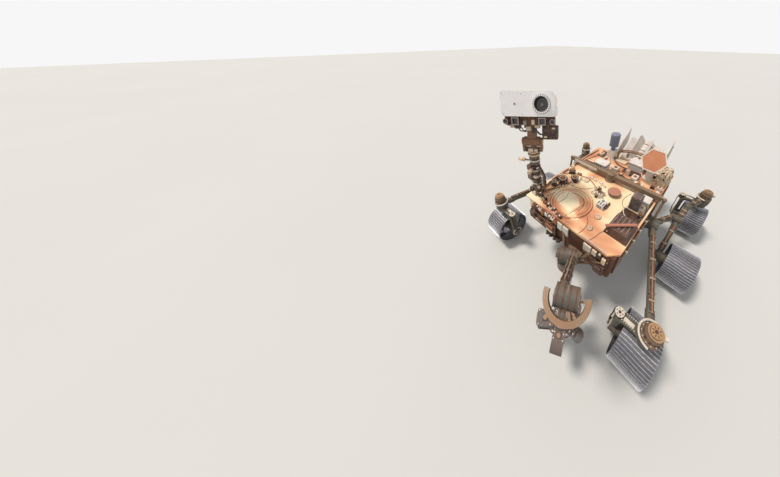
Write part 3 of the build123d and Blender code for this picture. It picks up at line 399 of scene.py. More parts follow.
def rib_mesh(height, width):
    """One cross rib at the drum's surface, along Z and bent sideways in a gentle S."""
    shape = bmesh.new()
    sections = []
    for i in range(RIB_STEPS + 1):
        along = i / RIB_STEPS - 0.5
        sway = 0.25 * RIB_BEND * sin(tau * along)
        outline = ((-SKIN / 2, -RIB_FOOT), (height, -RIB_TIP), (height, RIB_TIP), (-SKIN / 2, RIB_FOOT))
        section = []
        for out, side in outline:
            section.append(shape.verts.new((out, side + sway, along * width)))
        sections.append(section)
    for near, far in zip(sections, sections[1:]):
        for j in range(4):
            k = (j + 1) % 4
            shape.faces.new((near[j], near[k], far[k], far[j]))
    shape.faces.new(sections[0])
    shape.faces.new(sections[-1])
    return to_mesh("rib", shape)


def add_spoke(shape, start, drum):
    """Bent titanium strip between the hub and the inner ring."""
    strip = []
    for i in range(SPOKE_STEPS + 1):
        share = i / SPOKE_STEPS
        radius = SPOKE_ROOT + (drum - 0.014 - SPOKE_ROOT) * share
        angle = start + SPOKE_SWEEP * share ** 1.8
        thick = 0.0035 / radius
        wide = 0.030 - 0.010 * sin(pi * share)
        for turn in (angle - thick, angle + thick):
            for x in (-wide, wide):
                strip.append(shape.verts.new((x + 0.006, radius * sin(turn), radius * cos(turn))))
    for i in range(SPOKE_STEPS):
        a = 4 * i
        b = a + 4
        for j, k in ((0, 1), (1, 3), (3, 2), (2, 0)):
            shape.faces.new((strip[a + j], strip[a + k], strip[b + k], strip[b + j]))
    shape.faces.new((strip[0], strip[1], strip[3], strip[2]))
    shape.faces.new((strip[-4], strip[-3], strip[-1], strip[-2]))


def wheel_shape(drum, width):
    """Skin, inner ring, hub and spokes of one wheel, its axle along X and its outer side towards +X."""
    shape = bmesh.new()
    half = width / 2
    lip = drum - LIP
    skin = [(drum, -half), (drum, half), (lip, half), (lip, half - SKIN), (drum - SKIN, half - SKIN - 0.006),
            (drum - SKIN, -half + SKIN + 0.006), (lip, -half + SKIN), (lip, -half)]
    add_lathe(shape, skin, DRUM_STEPS, ALONG_X)
    ring = [(drum - 0.003, 0.022), (drum - 0.020, 0.016), (drum - 0.020, -0.016), (drum - 0.003, -0.022)]
    add_lathe(shape, ring, DRUM_STEPS, ALONG_X)
    hub = [(0, HUB_LOW), (0.088, HUB_LOW), (0.088, HUB_LOW + 0.03), (0.080, HUB_LOW + 0.036),
           (0.080, HUB_HIGH - 0.05), (0.074, HUB_HIGH - 0.016), (0.050, HUB_HIGH - 0.016), (0.046, HUB_HIGH),
           (0.030, HUB_HIGH), (0.028, HUB_HIGH - 0.006), (0, HUB_HIGH - 0.006)]
    add_lathe(shape, hub, HUB_STEPS, ALONG_X)
    for i in range(SPOKE_COUNT):
        add_spoke(shape, tau * i / SPOKE_COUNT, drum)
    return shape


ribs = rib_tree()
for name in [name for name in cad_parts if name.startswith("wheel_")]:
    low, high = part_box(name)
    centre = (low + high) / 2
    tip = (high.z - low.z) / 2
    drum = tip - RIB_HEIGHT
    width = high.x - low.x
    mesh = to_mesh(name, wheel_shape(drum, width))
    rib = rib_mesh(tip - drum - RIB_GAP, width - RIB_INSET)
    cross_ribs = grow(rib, ribs, Count=RIB_COUNT, Drum_radius=drum, Material=rib_metal)
    cross_ribs.transform(ALONG_X)
    joined = bmesh.new()
    joined.from_mesh(cross_ribs)
    for polygon in joined.faces:
        polygon.material_index = 1
    joined.from_mesh(mesh)
    facing_out = Matrix.Identity(4) if centre.x > 0 else Matrix.Rotation(pi, 4, "Z")
    joined.transform(Matrix.Translation(centre) @ facing_out)
    whole = bpy.data.meshes.new(name + "_skin")
    joined.to_mesh(whole)
    joined.free()
    whole.materials.append(wheel_metal)
    whole.materials.append(rib_metal)
    keep(name + "_skin", whole, None, name, replaced=name)

# Legs: titanium tubes of the rockers and bogies and the four corner struts, painted grey-green,
# with machined sleeves. Harness lines run along them under pale clamps, and every flange is bolted.
BOLT_SIDES = 6
WASHER_SIDES = 12
UP = Vector((0, 0, 1))
CORNER_X = 1.100
FRONT_Y = -1.100
REAR_Y = 1.020
AXLE_Z = 0.263
ROCKER_PIVOT = (0.700, -0.050, 0.815)
BOGIE_PIVOT = (0.940, 0.470, 0.610)
REAR_KNEE = (0.960, 0.660, 0.740)

leg_paint = finish("leg_paint", shade(0.30, 0.31, 0.27), dust_amount=0.27, roughness=0.5, wear=0.8,
                   patch=0.10, dust=shade(0.55, 0.40, 0.28))
clamp_paint = finish("clamp_paint", shade(0.62, 0.57, 0.48), dust_amount=0.30, roughness=0.5, patch=0.05)
pale_paint = finish("pale_paint", shade(0.90, 0.87, 0.80), dust_amount=0.22, roughness=0.5, patch=0.05)
dark_line = finish("dark_line", shade(0.13, 0.11, 0.10), dust_amount=0.30, roughness=0.6, wear=0.2,
                   patch=0.04)
tan_line = finish("tan_line", shade(0.60, 0.47, 0.34), dust_amount=0.30, roughness=0.6, wear=0.2, patch=0.04)
bolt_metal = finish("bolt_metal", shade(0.80, 0.78, 0.74), dust_amount=0.20, roughness=0.38, metal=True,
                    patch=0.03)
dress(leg_paint, "rocker_left", "rocker_right", "bogie_left", "bogie_right")
dress(leg_paint, "strut_front_left", "strut_front_right", "strut_rear_left", "strut_rear_right")


def frame_on(place, axis):
    """Frame with its origin at a place and its Z along an axis."""
    return Matrix.Translation(place) @ Vector(axis).to_track_quat("Z", "Y").to_matrix().to_4x4()


def stand(x, y, z):
    """Upright frame at a place in metres."""
    return Matrix.Translation(at(x, y, z))


def raised(place, height):
    """A frame moved along its own Z."""
    return place @ Matrix.Translation((0, 0, height))


def turned(place, angle):
    """A frame turned about its own Z."""
    return place @ Matrix.Rotation(angle, 4, "Z")


def polar(radius, angle, height=0.0):
    """Place at a distance and an angle round the Z axis."""
    return Vector((radius * cos(angle), radius * sin(angle), height))


def add_box(shape, low, high, place=Matrix(), edge=0.002):
    """Block between two corners, its edges broken, set at a place."""
    part = bmesh.new()
    bmesh.ops.create_cube(part, size=1.0)
    low = Vector(low)
    high = Vector(high)
    part.transform(place @ Matrix.Translation((low + high) / 2) @ Matrix.Diagonal((*(high - low), 1.0)))
    bmesh.ops.bevel(part, geom=part.edges[:], offset=edge, segments=1, affect="EDGES")
    mesh = bpy.data.meshes.new("block")
    part.to_mesh(mesh)
    part.free()
    shape.from_mesh(mesh)
    bpy.data.meshes.remove(mesh)


def add_block(shape, wide, deep, tall, place, edge=0.003):
    """Block of a given size round its place."""
    add_box(shape, (-wide / 2, -deep / 2, -tall / 2), (wide / 2, deep / 2, tall / 2), place, edge)


def add_pipe(shape, points, radius, detail=1):
    """Round line of even thickness on one smooth run, guided by the points."""
    curve = bpy.data.curves.new("run", "CURVE")
    curve.dimensions = "3D"
    spline = curve.splines.new("NURBS")
    spline.points.add(len(points) - 1)
    for control, point in zip(spline.points, points):
        control.co = (*point, 1.0)
    spline.order_u = 3
    spline.use_endpoint_u = True
    spline.resolution_u = 4
    curve.bevel_depth = radius
    curve.bevel_resolution = detail
    curve.use_fill_caps = True
    carrier = bpy.data.objects.new("run", curve)
    mesh = bpy.data.meshes.new_from_object(carrier)
    shape.from_mesh(mesh)
    bpy.data.objects.remove(carrier)
    bpy.data.curves.remove(curve)
    bpy.data.meshes.remove(mesh)


def add_ring(shape, place, inner, outer, height, steps=32):
    """Flat collar with broken edges, standing on its place."""
    edge = min(height, outer - inner) * 0.25
    profile = [(inner, 0), (outer, 0), (outer, height - edge), (outer - edge, height),
               (inner + edge, height), (inner, height - edge)]
    add_lathe(shape, profile, steps, place)


def add_cap(shape, place, radius, height, steps=24):
    """Low round cap with a broken edge, standing on its place."""
    edge = min(height, radius) * 0.3
    profile = [(0, 0), (radius, 0), (radius, height - edge), (radius - edge, height), (0, height)]
    add_lathe(shape, profile, steps, place)


def add_plate(shape, outline, place, height):
    """Flat plate of any outline, standing on its place."""
    low = [shape.verts.new(place @ Vector((x, y, 0))) for x, y in outline]
    high = [shape.verts.new(place @ Vector((x, y, height))) for x, y in outline]
    shape.faces.new(low)
    shape.faces.new(high)
    for i in range(len(outline)):
        j = (i + 1) % len(outline)
        shape.faces.new((low[i], low[j], high[j], high[i]))


def bolt_tree():
    """Node tree that sets a washer with a six-sided head on each point, along the point's axis."""
    group, given = new_tree("bolts", ("Radius", "NodeSocketFloat", 0.006))
    radius = given["Radius"]
    washer = node(group, "GeometryNodeMeshCylinder", Vertices=WASHER_SIDES, Radius=radius,
                  Depth=maths(group, "MULTIPLY", radius, 0.5))
    cap = node(group, "GeometryNodeMeshCylinder", Vertices=BOLT_SIDES,
               Radius=maths(group, "MULTIPLY", radius, 0.68), Depth=maths(group, "MULTIPLY", radius, 1.3))
    both = node(group, "GeometryNodeJoinGeometry")
    group.links.new(washer.outputs["Mesh"], both.inputs[0])
    group.links.new(cap.outputs["Mesh"], both.inputs[0])
    axis = node(group, "GeometryNodeInputNamedAttribute", {"data_type": "FLOAT_VECTOR"}, Name="axis")
    turn = node(group, "FunctionNodeAlignRotationToVector", {"axis": "Z"}, Vector=axis.outputs["Attribute"])
    heads = node(group, "GeometryNodeInstanceOnPoints", Points=given["Geometry"],
                 Instance=both.outputs[0], Rotation=turn.outputs[0])
    return end_tree(group, given, heads)


bolts = bolt_tree()


def fasten(name, spots, radius, body, material=bolt_metal):
    """One body's bolt heads, each spot a place with its axis."""
    base = bpy.data.meshes.new(name)
    base.from_pydata([place for place, axis in spots], [], [])
    axes = [part for place, axis in spots for part in axis]
    base.attributes.new("axis", "FLOAT_VECTOR", "POINT").data.foreach_set("vector", axes)
    keep(name, grow(base, bolts, Radius=radius, Material=material), material, body)


def row(start, end, count, axis=UP):
    """Evenly spaced bolts from one place to another."""
    start, end, axis = Vector(start), Vector(end), Vector(axis)
    return [(start.lerp(end, i / (count - 1)), axis) for i in range(count)]


def circle(place, radius, count):
    """Bolts round a place's Z axis."""
    axis = place.to_3x3() @ UP
    return [(place @ polar(radius, tau * (i + 0.5) / count), axis) for i in range(count)]


def along_tube(start, end):
    """Frame at the start of a tube, its Z along the tube and its Y upwards."""
    span = (end - start).normalized()
    side = UP.cross(span).normalized()
    up = span.cross(side)
    if up.z < 0:
        side, up = -side, -up
    turn = Matrix((side, up, span)).transposed().to_4x4()
    return Matrix.Translation(start) @ turn


LEG_RUNS = (
    # tube start, tube end, first share, last share, height over the axis, clamp radius
    (ROCKER_PIVOT, (CORNER_X, FRONT_Y, 0.704), 0.17, 0.86, 0.052, 0.0),
    (ROCKER_PIVOT, (0.865, 0.470, 0.610), 0.22, 0.88, 0.045, 0.036),
    (BOGIE_PIVOT, (0.940, 0.000, AXLE_Z), 0.16, 0.84, 0.045, 0.036),
    (BOGIE_PIVOT, REAR_KNEE, 0.25, 0.80, 0.039, 0.036),
    (REAR_KNEE, (CORNER_X, REAR_Y, 0.710), 0.14, 0.76, 0.045, 0.036),
)
HARNESS = (
    # sideways place, radius, dark
    (-0.013, 0.0062, True),
    (0.001, 0.0070, False),
    (0.014, 0.0058, True),
)
PIVOT_BOLTS = (
    # face x, y, z, radius of the bolt circle, bolts
    (0.774, *ROCKER_PIVOT[1:], 0.040, 8),
    (0.760, *ROCKER_PIVOT[1:], 0.069, 12),
    (0.989, *BOGIE_PIVOT[1:], 0.029, 6),
    (0.975, *BOGIE_PIVOT[1:], 0.052, 10),
)
CLAMP_SPACING = 0.21
dark_runs = bmesh.new()
tan_runs = bmesh.new()
clamps = bmesh.new()
leg_bolts = []
for side in (-1, 1):
    for start, end, first, last, lift, clamp_r in LEG_RUNS:
        start = at(side * start[0], *start[1:])
        end = at(side * end[0], *end[1:])
        place = along_tube(start, end)
        length = (end - start).length
        for across, radius, dark in HARNESS:
            run = []
            for i in range(9):
                share = first + (last - first) * i / 8
                sway = 0.0022 * sin(9 * share + 200 * across)
                rise = lift + 0.0015 * sin(15 * share + 90 * across)
                run.append(place @ Vector((across + sway, rise, length * share)))
            add_pipe(dark_runs if dark else tan_runs, run, radius)
        count = max(2, round((last - first) * length / CLAMP_SPACING))
        for i in range(count):
            z = length * (first + (last - first) * (i + 0.5) / count)
            add_box(clamps, (-0.024, lift + 0.004, z - 0.007), (0.024, lift + 0.010, z + 0.007), place)
            if clamp_r:
                add_ring(clamps, raised(place, z - 0.006), clamp_r - 0.002, clamp_r + 0.004, 0.012, 24)
                add_box(clamps, (-0.023, clamp_r - 0.004, z - 0.006), (0.023, lift + 0.006, z + 0.006), place)
    out = Vector((side, 0, 0))
    for x, y, z, radius, count in PIVOT_BOLTS:
        leg_bolts += circle(frame_on(at(side * x, y, z), out), radius, count)
    leg_bolts += circle(frame_on(at(side * 0.883, 0, AXLE_Z), -out), 0.036, 8)
    for y in (FRONT_Y, REAR_Y):
        leg_bolts += circle(frame_on(at(side * CORNER_X, y, 0.772), UP), 0.0775, 12)
keep_shape("leg_harness_dark", dark_runs, dark_line, "rover")
keep_shape("leg_harness_tan", tan_runs, tan_line, "rover")
keep_shape("leg_clamps", clamps, clamp_paint, "rover")
fasten("leg_bolts", leg_bolts, 0.0062, "rover")

STRUTS = (
    # corner, side, y
    ("front_left", 1, FRONT_Y),
    ("front_right", -1, FRONT_Y),
    ("rear_left", 1, REAR_Y),
    ("rear_right", -1, REAR_Y),
)
STRUT_LINE = (
    # points of the line down a strut, x and z from the corner's axis, y from the strut's middle
    (-0.262, 0.036, 0.648), (-0.292, 0.045, 0.610), (-0.300, 0.036, 0.540),
    (-0.292, 0.030, 0.420), (-0.300, 0.016, 0.330), (-0.288, 0.008, 0.290),
)
for name, side, y in STRUTS:
    turn = Matrix.Identity(4) if side > 0 else Matrix.Rotation(pi, 4, "Z")
    place = stand(side * CORNER_X, y, 0) @ turn
    across = place.to_3x3() @ Vector((-1, 0, 0))
    body = "strut_" + name
    shape = bmesh.new()
    encoder = place @ Matrix.Translation((-0.256, 0, 0.6695))
    add_ring(shape, encoder, 0.013, 0.043, 0.004, 40)
    add_box(shape, (-0.205, -0.030, 0.6612), (-0.110, 0.004, 0.6642), place, edge=0.001)
    drive = place @ Matrix.Translation((-0.2661, 0, AXLE_Z)) @ ALONG_X.inverted()
    add_ring(shape, drive, 0.058, 0.072, 0.005, 40)
    keep_shape("strut_trim_" + name, shape, pale_paint, body)
    shape = bmesh.new()
    for i in range(6):
        spot = turned(encoder, tau * i / 6) @ Matrix.Translation((0.028, 0, 0.0036))
        add_cap(shape, spot, 0.0062, 0.0008, 12)
    add_cap(shape, encoder, 0.012, 0.005)
    for sway in (-0.012, 0.004):
        add_pipe(shape, [place @ Vector((x, bulge + sway, z)) for x, bulge, z in STRUT_LINE], 0.0065)
    keep_shape("strut_lines_" + name, shape, dark_line, body)
    spots = circle(raised(encoder, 0.0035), 0.037, 8)
    spots += circle(frame_on(place @ Vector((-0.292, 0, AXLE_Z)), across), 0.029, 6)
    spots += circle(frame_on(place @ Vector((-0.271, 0, AXLE_Z)), across), 0.065, 12)
    for edge in (-0.037, 0.037):
        spots += row(place @ Vector((-0.215, edge, 0.6615)), place @ Vector((-0.100, edge, 0.6615)), 7)
    fasten("strut_bolts_" + name, spots, 0.0055, body)

# Steering actuators: motors in beige painted housings on top of the four corner legs. A slotted metal ring
# cap closes each, a white hose runs round its collar and a plug sits beside it. Bosses and bracket match.
CAP_Z = 0.884
CAP_SLOTS = 8
HOUSING_SLOTS = 10
HOSE_REACH = 0.102
drive_paint = finish("drive_paint", shade(0.44, 0.36, 0.29), dust_amount=0.38, roughness=0.45, patch=0.05,
                     dust=shade(0.56, 0.40, 0.28))
gold = finish("gold", shade(0.74, 0.60, 0.43), dust_amount=0.22, roughness=0.3, metal=True, patch=0.04)
dress(drive_paint, "steering_actuators", "rocker_bosses", "arm_bracket")
rings = bmesh.new()
slots = bmesh.new()
hoses = bmesh.new()
for side in (-1, 1):
    for y in (FRONT_Y, REAR_Y):
        place = stand(side * CORNER_X, y, 0)
        add_ring(rings, raised(place, 0.8702), 0.0465, 0.0600, 0.005, 48)
        add_ring(rings, raised(place, CAP_Z), 0.0130, 0.0440, 0.003, 48)
        for i in range(CAP_SLOTS):
            turn = turned(place, tau * i / CAP_SLOTS)
            add_box(slots, (0.019, -0.0038, 0.8862), (0.038, 0.0038, 0.8876), turn, edge=0.0004)
        add_cap(slots, raised(place, CAP_Z), 0.0120, 0.004)
        for i in range(HOUSING_SLOTS):
            turn = turned(place, tau * (i + 0.5) / HOUSING_SLOTS)
            add_box(slots, (0.0690, -0.006, 0.782), (0.0735, 0.006, 0.826), turn, edge=0.001)
        ahead = -1 if y < 0 else 1
        loop = []
        for i in range(8):
            angle = radians(85 + 190 * i / 7)
            across, along = side * HOSE_REACH * cos(angle), -ahead * HOSE_REACH * sin(angle)
            loop.append(place @ Vector((across, along, 0.775 - 0.014 * i / 7)))
        add_pipe(hoses, loop, 0.0095, detail=2)
        plug = turned(place, radians(90 - side * 70)) @ Matrix.Translation((0.082, 0, 0))
        add_box(hoses, (-0.020, -0.014, 0.800), (0.020, 0.014, 0.840), plug)
keep_shape("actuator_rings", rings, gold, "rover")
keep_shape("actuator_slots", slots, dark_line, "rover")
keep_shape("actuator_hoses", hoses, pale_paint, "rover")

# Deck: aluminium panels in white paint under cream and orange dust, baked smooth and a little glossy.
# A raised ring with inner plates, bolted port covers and studs round the edge. Dark lines along the joints
# between panels are dust and painted shade in the seams.
RING_CENTRE = (-0.130, -0.660)
DECK_Z = 1.100
DECK_TONES = (
    # place on the noise ramp, colour
    (0.33, shade(0.70, 0.44, 0.31)),
    (0.43, shade(0.87, 0.60, 0.43)),
    (0.51, shade(0.98, 0.79, 0.60)),
    (0.60, shade(1.00, 0.92, 0.77)),
)


def deck_finish(name, lift=0.0):
    """Dust-baked paint that runs from brown over orange to cream in soft clouds."""
    material, tree, surface = new_material(name)
    place = node(tree, "ShaderNodeTexCoord").outputs["Object"]
    clouds = node(tree, "ShaderNodeTexNoise", Vector=place, Scale=2.1, Detail=1.6, Roughness=0.5,
                  Distortion=0.6)
    specks = node(tree, "ShaderNodeTexNoise", Vector=place, Scale=120.0, Detail=3.0, Roughness=0.7)
    mixed = maths(tree, "ADD", clouds.outputs["Fac"], maths(tree, "MULTIPLY", specks.outputs["Fac"], 0.07))
    mixed = maths(tree, "ADD", mixed, lift - 0.035)
    ramp = node(tree, "ShaderNodeValToRGB", Fac=mixed)
    ramp.color_ramp.interpolation = "B_SPLINE"
    for i, (spot, colour) in enumerate(DECK_TONES):
        stop = ramp.color_ramp.elements[i] if i < 2 else ramp.color_ramp.elements.new(spot)
        stop.position = spot
        stop.color = colour
    tree.links.new(ramp.outputs["Color"], surface.inputs["Base Color"])
    gloss = node(tree, "ShaderNodeMapRange", Value=clouds.outputs["Fac"], From_Min=0.4, From_Max=0.62,
                 To_Min=0.62, To_Max=0.34)
    tree.links.new(gloss.outputs[0], surface.inputs["Roughness"])
    bump = node(tree, "ShaderNodeBump", Strength=0.25, Distance=0.0015, Height=mixed)
    tree.links.new(bump.outputs[0], surface.inputs["Normal"])
    return material


deck_paint = deck_finish("deck_paint")
cream_paint = deck_finish("cream_paint", lift=0.10)
dress(deck_paint, "top_deck")
DECK_PLATES = (
    # corners of thin plates that lie inside the ring
    ((-0.333, -0.564), (-0.217, -0.530), (-0.086, -0.569), (-0.018, -0.650), (-0.037, -0.713),
     (-0.190, -0.701)),
    ((-0.232, -0.777), (-0.050, -0.792), (-0.042, -0.728), (-0.200, -0.716)),
    ((-0.040, -0.850), (-0.004, -0.762), (0.088, -0.800), (0.094, -0.828), (0.032, -0.866)),
)
JOINT_DUST_AND_SHADE_LINES = (
    # points of the dark lines along the joints between the panels, dust and painted shade in the seams
    ((0.402, -0.700), (0.372, -0.755), (0.352, -0.800), (0.350, -0.860), (0.330, -0.915), (0.318, -0.950)),
    ((0.118, -0.700), (0.170, -0.735), (0.205, -0.800), (0.212, -0.880), (0.200, -0.950)),
    ((-0.051, -0.905), (-0.023, -0.787), (-0.002, -0.659), (0.004, -0.600)),
    ((-0.255, -0.565), (-0.226, -0.620), (-0.218, -0.703), (-0.236, -0.780)),
    ((-0.620, -0.500), (-0.480, -0.430), (-0.330, -0.440), (-0.160, -0.400), (-0.060, -0.260),
     (0.000, -0.120)),
    ((-0.600, -0.585), (-0.450, -0.530), (-0.380, -0.600), (-0.395, -0.720), (-0.430, -0.860)),
    ((0.600, -0.360), (0.440, -0.350), (0.330, -0.300), (0.300, -0.160), (0.340, -0.050)),
    ((-0.600, 0.260), (-0.300, 0.290), (0.000, 0.270), (0.250, 0.300)),
)
PORTS = (
    # x, y, radius, height
    (0.230, -0.640, 0.032, 0.012),
    (-0.020, -0.345, 0.030, 0.012),
    (0.250, -0.820, 0.024, 0.010),
    (-0.230, -0.220, 0.034, 0.016),
)
DECK_RINGS = ((0.256, 0.2595), (0.2205, 0.2240), (0.1880, 0.1910))
origin = stand(0, 0, 0)
deck_top = stand(0, 0, DECK_Z)
ring_place = stand(*RING_CENTRE, DECK_Z)
plates = bmesh.new()
for outline in DECK_PLATES:
    add_plate(plates, outline, deck_top, 0.0025)
keep_shape("deck_plates", plates, cream_paint, "rover")
# dark lines along the panel joints: dust and painted shade in the seams
joints = bmesh.new()
for line in JOINT_DUST_AND_SHADE_LINES:
    add_pipe(joints, [at(x, y, DECK_Z + 0.0004) for x, y in line], 0.0032)
for inner, outer in DECK_RINGS:
    add_ring(joints, ring_place, inner, outer, 0.0016, 96)
add_pipe(joints, [ring_place @ polar(0.152, radians(angle), 0.0006) for angle in range(-20, 150, 17)], 0.0036)
covers = bmesh.new()
deck_bolts = []
for x, y, radius, height in PORTS:
    top = stand(x, y, DECK_Z + height)
    add_ring(joints, top, radius * 0.50, radius * 0.62, 0.0012, 32)
    add_ring(joints, stand(x, y, DECK_Z), radius + 0.0055, radius + 0.0085, 0.0016, 32)
    add_ring(covers, top, radius * 0.66, radius * 0.96, 0.0022, 32)
    deck_bolts += circle(stand(x, y, DECK_Z + height + 0.0016), radius * 0.81, 6)
keep_shape("deck_joints", joints, dark_line, "rover")
keep_shape("port_rims", covers, pale_paint, "rover")
for angle in range(-10, 150, 20):
    deck_bolts.append((ring_place @ polar(0.171, radians(angle)), UP))
deck_bolts += row(at(-0.600, -0.934, DECK_Z), at(0.180, -0.934, DECK_Z), 22)
deck_bolts += row(at(0.604, -0.840, DECK_Z), at(0.604, 0.320, DECK_Z), 30)
deck_bolts += row(at(-0.604, -0.700, DECK_Z), at(-0.604, 0.680, DECK_Z), 30)
deck_bolts += row(at(-0.580, 0.682, DECK_Z), at(0.440, 0.682, DECK_Z), 24)
fasten("deck_bolts", deck_bolts, 0.0052, "rover", material=pale_paint)

# Deck edge: bright studs along the front, then brackets, plugs and cable ends that crowd the front
# right edge and its face below the mast. White, cream, bronze and black parts, all small.
bronze = finish("bronze", shade(0.62, 0.38, 0.22), dust_amount=0.25, roughness=0.42, metal=True, patch=0.04)
black_paint = finish("black_paint", shade(0.08, 0.07, 0.07), dust_amount=0.22, roughness=0.4, wear=0.6,
                     patch=0.04)
cream_part = finish("cream_part", shade(0.93, 0.85, 0.73), dust_amount=0.25, roughness=0.5, patch=0.05)
studs = bmesh.new()
for i in range(18):
    x = 0.225 + 0.0165 * i
    add_box(studs, (x, -0.9515, 0), (x + 0.0095, -0.934, 0.010), deck_top, edge=0.0015)
keep_shape("edge_studs", studs, pale_paint, "rover")
SMALL_PARTS = {kind: bmesh.new() for kind in ("white", "cream", "bronze", "black")}
EDGE_PARTS = (
    # finish, middle x, middle y, middle z, size x, size y, size z, turn about Z in degrees
    ("black", -0.468, -0.846, 1.130, 0.052, 0.040, 0.060, 20),
    ("cream", -0.420, -0.880, 1.118, 0.036, 0.030, 0.036, 0),
    ("black", -0.384, -0.842, 1.122, 0.044, 0.028, 0.044, -15),
    ("bronze", -0.350, -0.890, 1.116, 0.040, 0.036, 0.032, 10),
    ("white", -0.312, -0.866, 1.112, 0.026, 0.022, 0.024, 0),
    ("black", -0.276, -0.896, 1.124, 0.050, 0.034, 0.048, 24),
    ("cream", -0.232, -0.914, 1.115, 0.040, 0.026, 0.030, 0),
    ("black", -0.190, -0.892, 1.116, 0.034, 0.040, 0.032, 0),
    ("white", -0.154, -0.924, 1.112, 0.030, 0.024, 0.024, 12),
    ("bronze", -0.112, -0.910, 1.114, 0.038, 0.030, 0.028, -10),
    ("black", -0.074, -0.930, 1.118, 0.044, 0.030, 0.036, 0),
    ("white", -0.500, -0.966, 1.050, 0.044, 0.028, 0.060, 0),
    ("bronze", -0.448, -0.972, 1.066, 0.046, 0.040, 0.034, 0),
    ("black", -0.396, -0.968, 1.048, 0.052, 0.036, 0.052, 0),
    ("cream", -0.344, -0.970, 1.062, 0.040, 0.036, 0.040, 0),
    ("bronze", -0.292, -0.974, 1.046, 0.048, 0.048, 0.046, 0),
    ("white", -0.240, -0.970, 1.058, 0.038, 0.036, 0.050, 0),
    ("black", -0.192, -0.972, 1.046, 0.044, 0.044, 0.040, 0),
    ("cream", -0.142, -0.970, 1.062, 0.048, 0.040, 0.036, 0),
    ("bronze", -0.092, -0.970, 1.044, 0.036, 0.036, 0.052, 0),
    ("white", -0.040, -0.964, 1.010, 0.070, 0.018, 0.110, 0),
    ("white", 0.044, -0.964, 0.996, 0.078, 0.018, 0.138, 0),
    ("white", 0.330, -0.964, 1.000, 0.090, 0.018, 0.110, 0),
    ("cream", 0.412, -0.962, 1.010, 0.050, 0.020, 0.080, 0),
    ("black", 0.470, -0.966, 1.030, 0.040, 0.034, 0.050, 0),
    ("cream", 0.520, -0.962, 0.980, 0.040, 0.024, 0.090, 0),
    ("black", -0.520, -0.968, 0.840, 0.070, 0.040, 0.110, 0),
    ("cream", -0.410, -0.962, 0.800, 0.110, 0.024, 0.050, 0),
    ("bronze", -0.180, -0.998, 0.900, 0.120, 0.020, 0.060, 0),
    ("white", -0.180, -0.998, 0.830, 0.100, 0.016, 0.030, 0),
    ("black", 0.494, -0.990, 0.820, 0.060, 0.020, 0.090, 0),
)
for kind, x, y, z, wide, deep, tall, turn in EDGE_PARTS:
    place = turned(stand(x, y, z), radians(turn))
    add_block(SMALL_PARTS[kind], wide, deep, tall, place)
    if tall < 0.07:
        cap_kind = "black" if kind != "black" else "white"
        add_cap(SMALL_PARTS[cap_kind], raised(place, tall / 2), min(wide, deep) * 0.32, 0.006, 16)
FRONT_LINES = (
    # dark, radius, points of lines that hang along the front face
    (True, 0.007, ((-0.470, -0.955, 1.040), (-0.440, -1.000, 0.990), (-0.330, -1.000, 0.960),
                   (-0.200, -0.985, 0.985), (-0.110, -0.960, 0.960))),
    (False, 0.006, ((-0.500, -0.960, 1.010), (-0.440, -0.990, 0.950), (-0.300, -0.992, 0.930),
                    (-0.160, -0.985, 0.975), (-0.060, -0.968, 1.060))),
    (True, 0.008, ((-0.560, -0.955, 0.900), (-0.450, -0.990, 0.860), (-0.290, -1.000, 0.880),
                   (-0.230, -0.990, 0.960), (-0.200, -0.958, 1.040))),
    (True, 0.007,
     ((0.300, -0.955, 0.950), (0.360, -0.985, 0.920), (0.450, -0.985, 0.940), (0.540, -0.960, 0.910))),
    (False, 0.006,
     ((0.290, -0.955, 0.900), (0.380, -0.975, 0.880), (0.470, -0.990, 0.910), (0.560, -0.955, 1.000))),
    (True, 0.006,
     ((0.020, -0.958, 0.930), (0.060, -0.990, 0.880), (0.120, -1.010, 0.820), (0.150, -1.040, 0.800))),
    (False, 0.006,
     ((0.050, -0.958, 0.920), (0.080, -0.992, 0.860), (0.130, -1.015, 0.800), (0.170, -1.050, 0.770))),
)
dark_runs = bmesh.new()
tan_runs = bmesh.new()
for dark, radius, points in FRONT_LINES:
    add_pipe(dark_runs if dark else tan_runs, [at(*point) for point in points], radius)
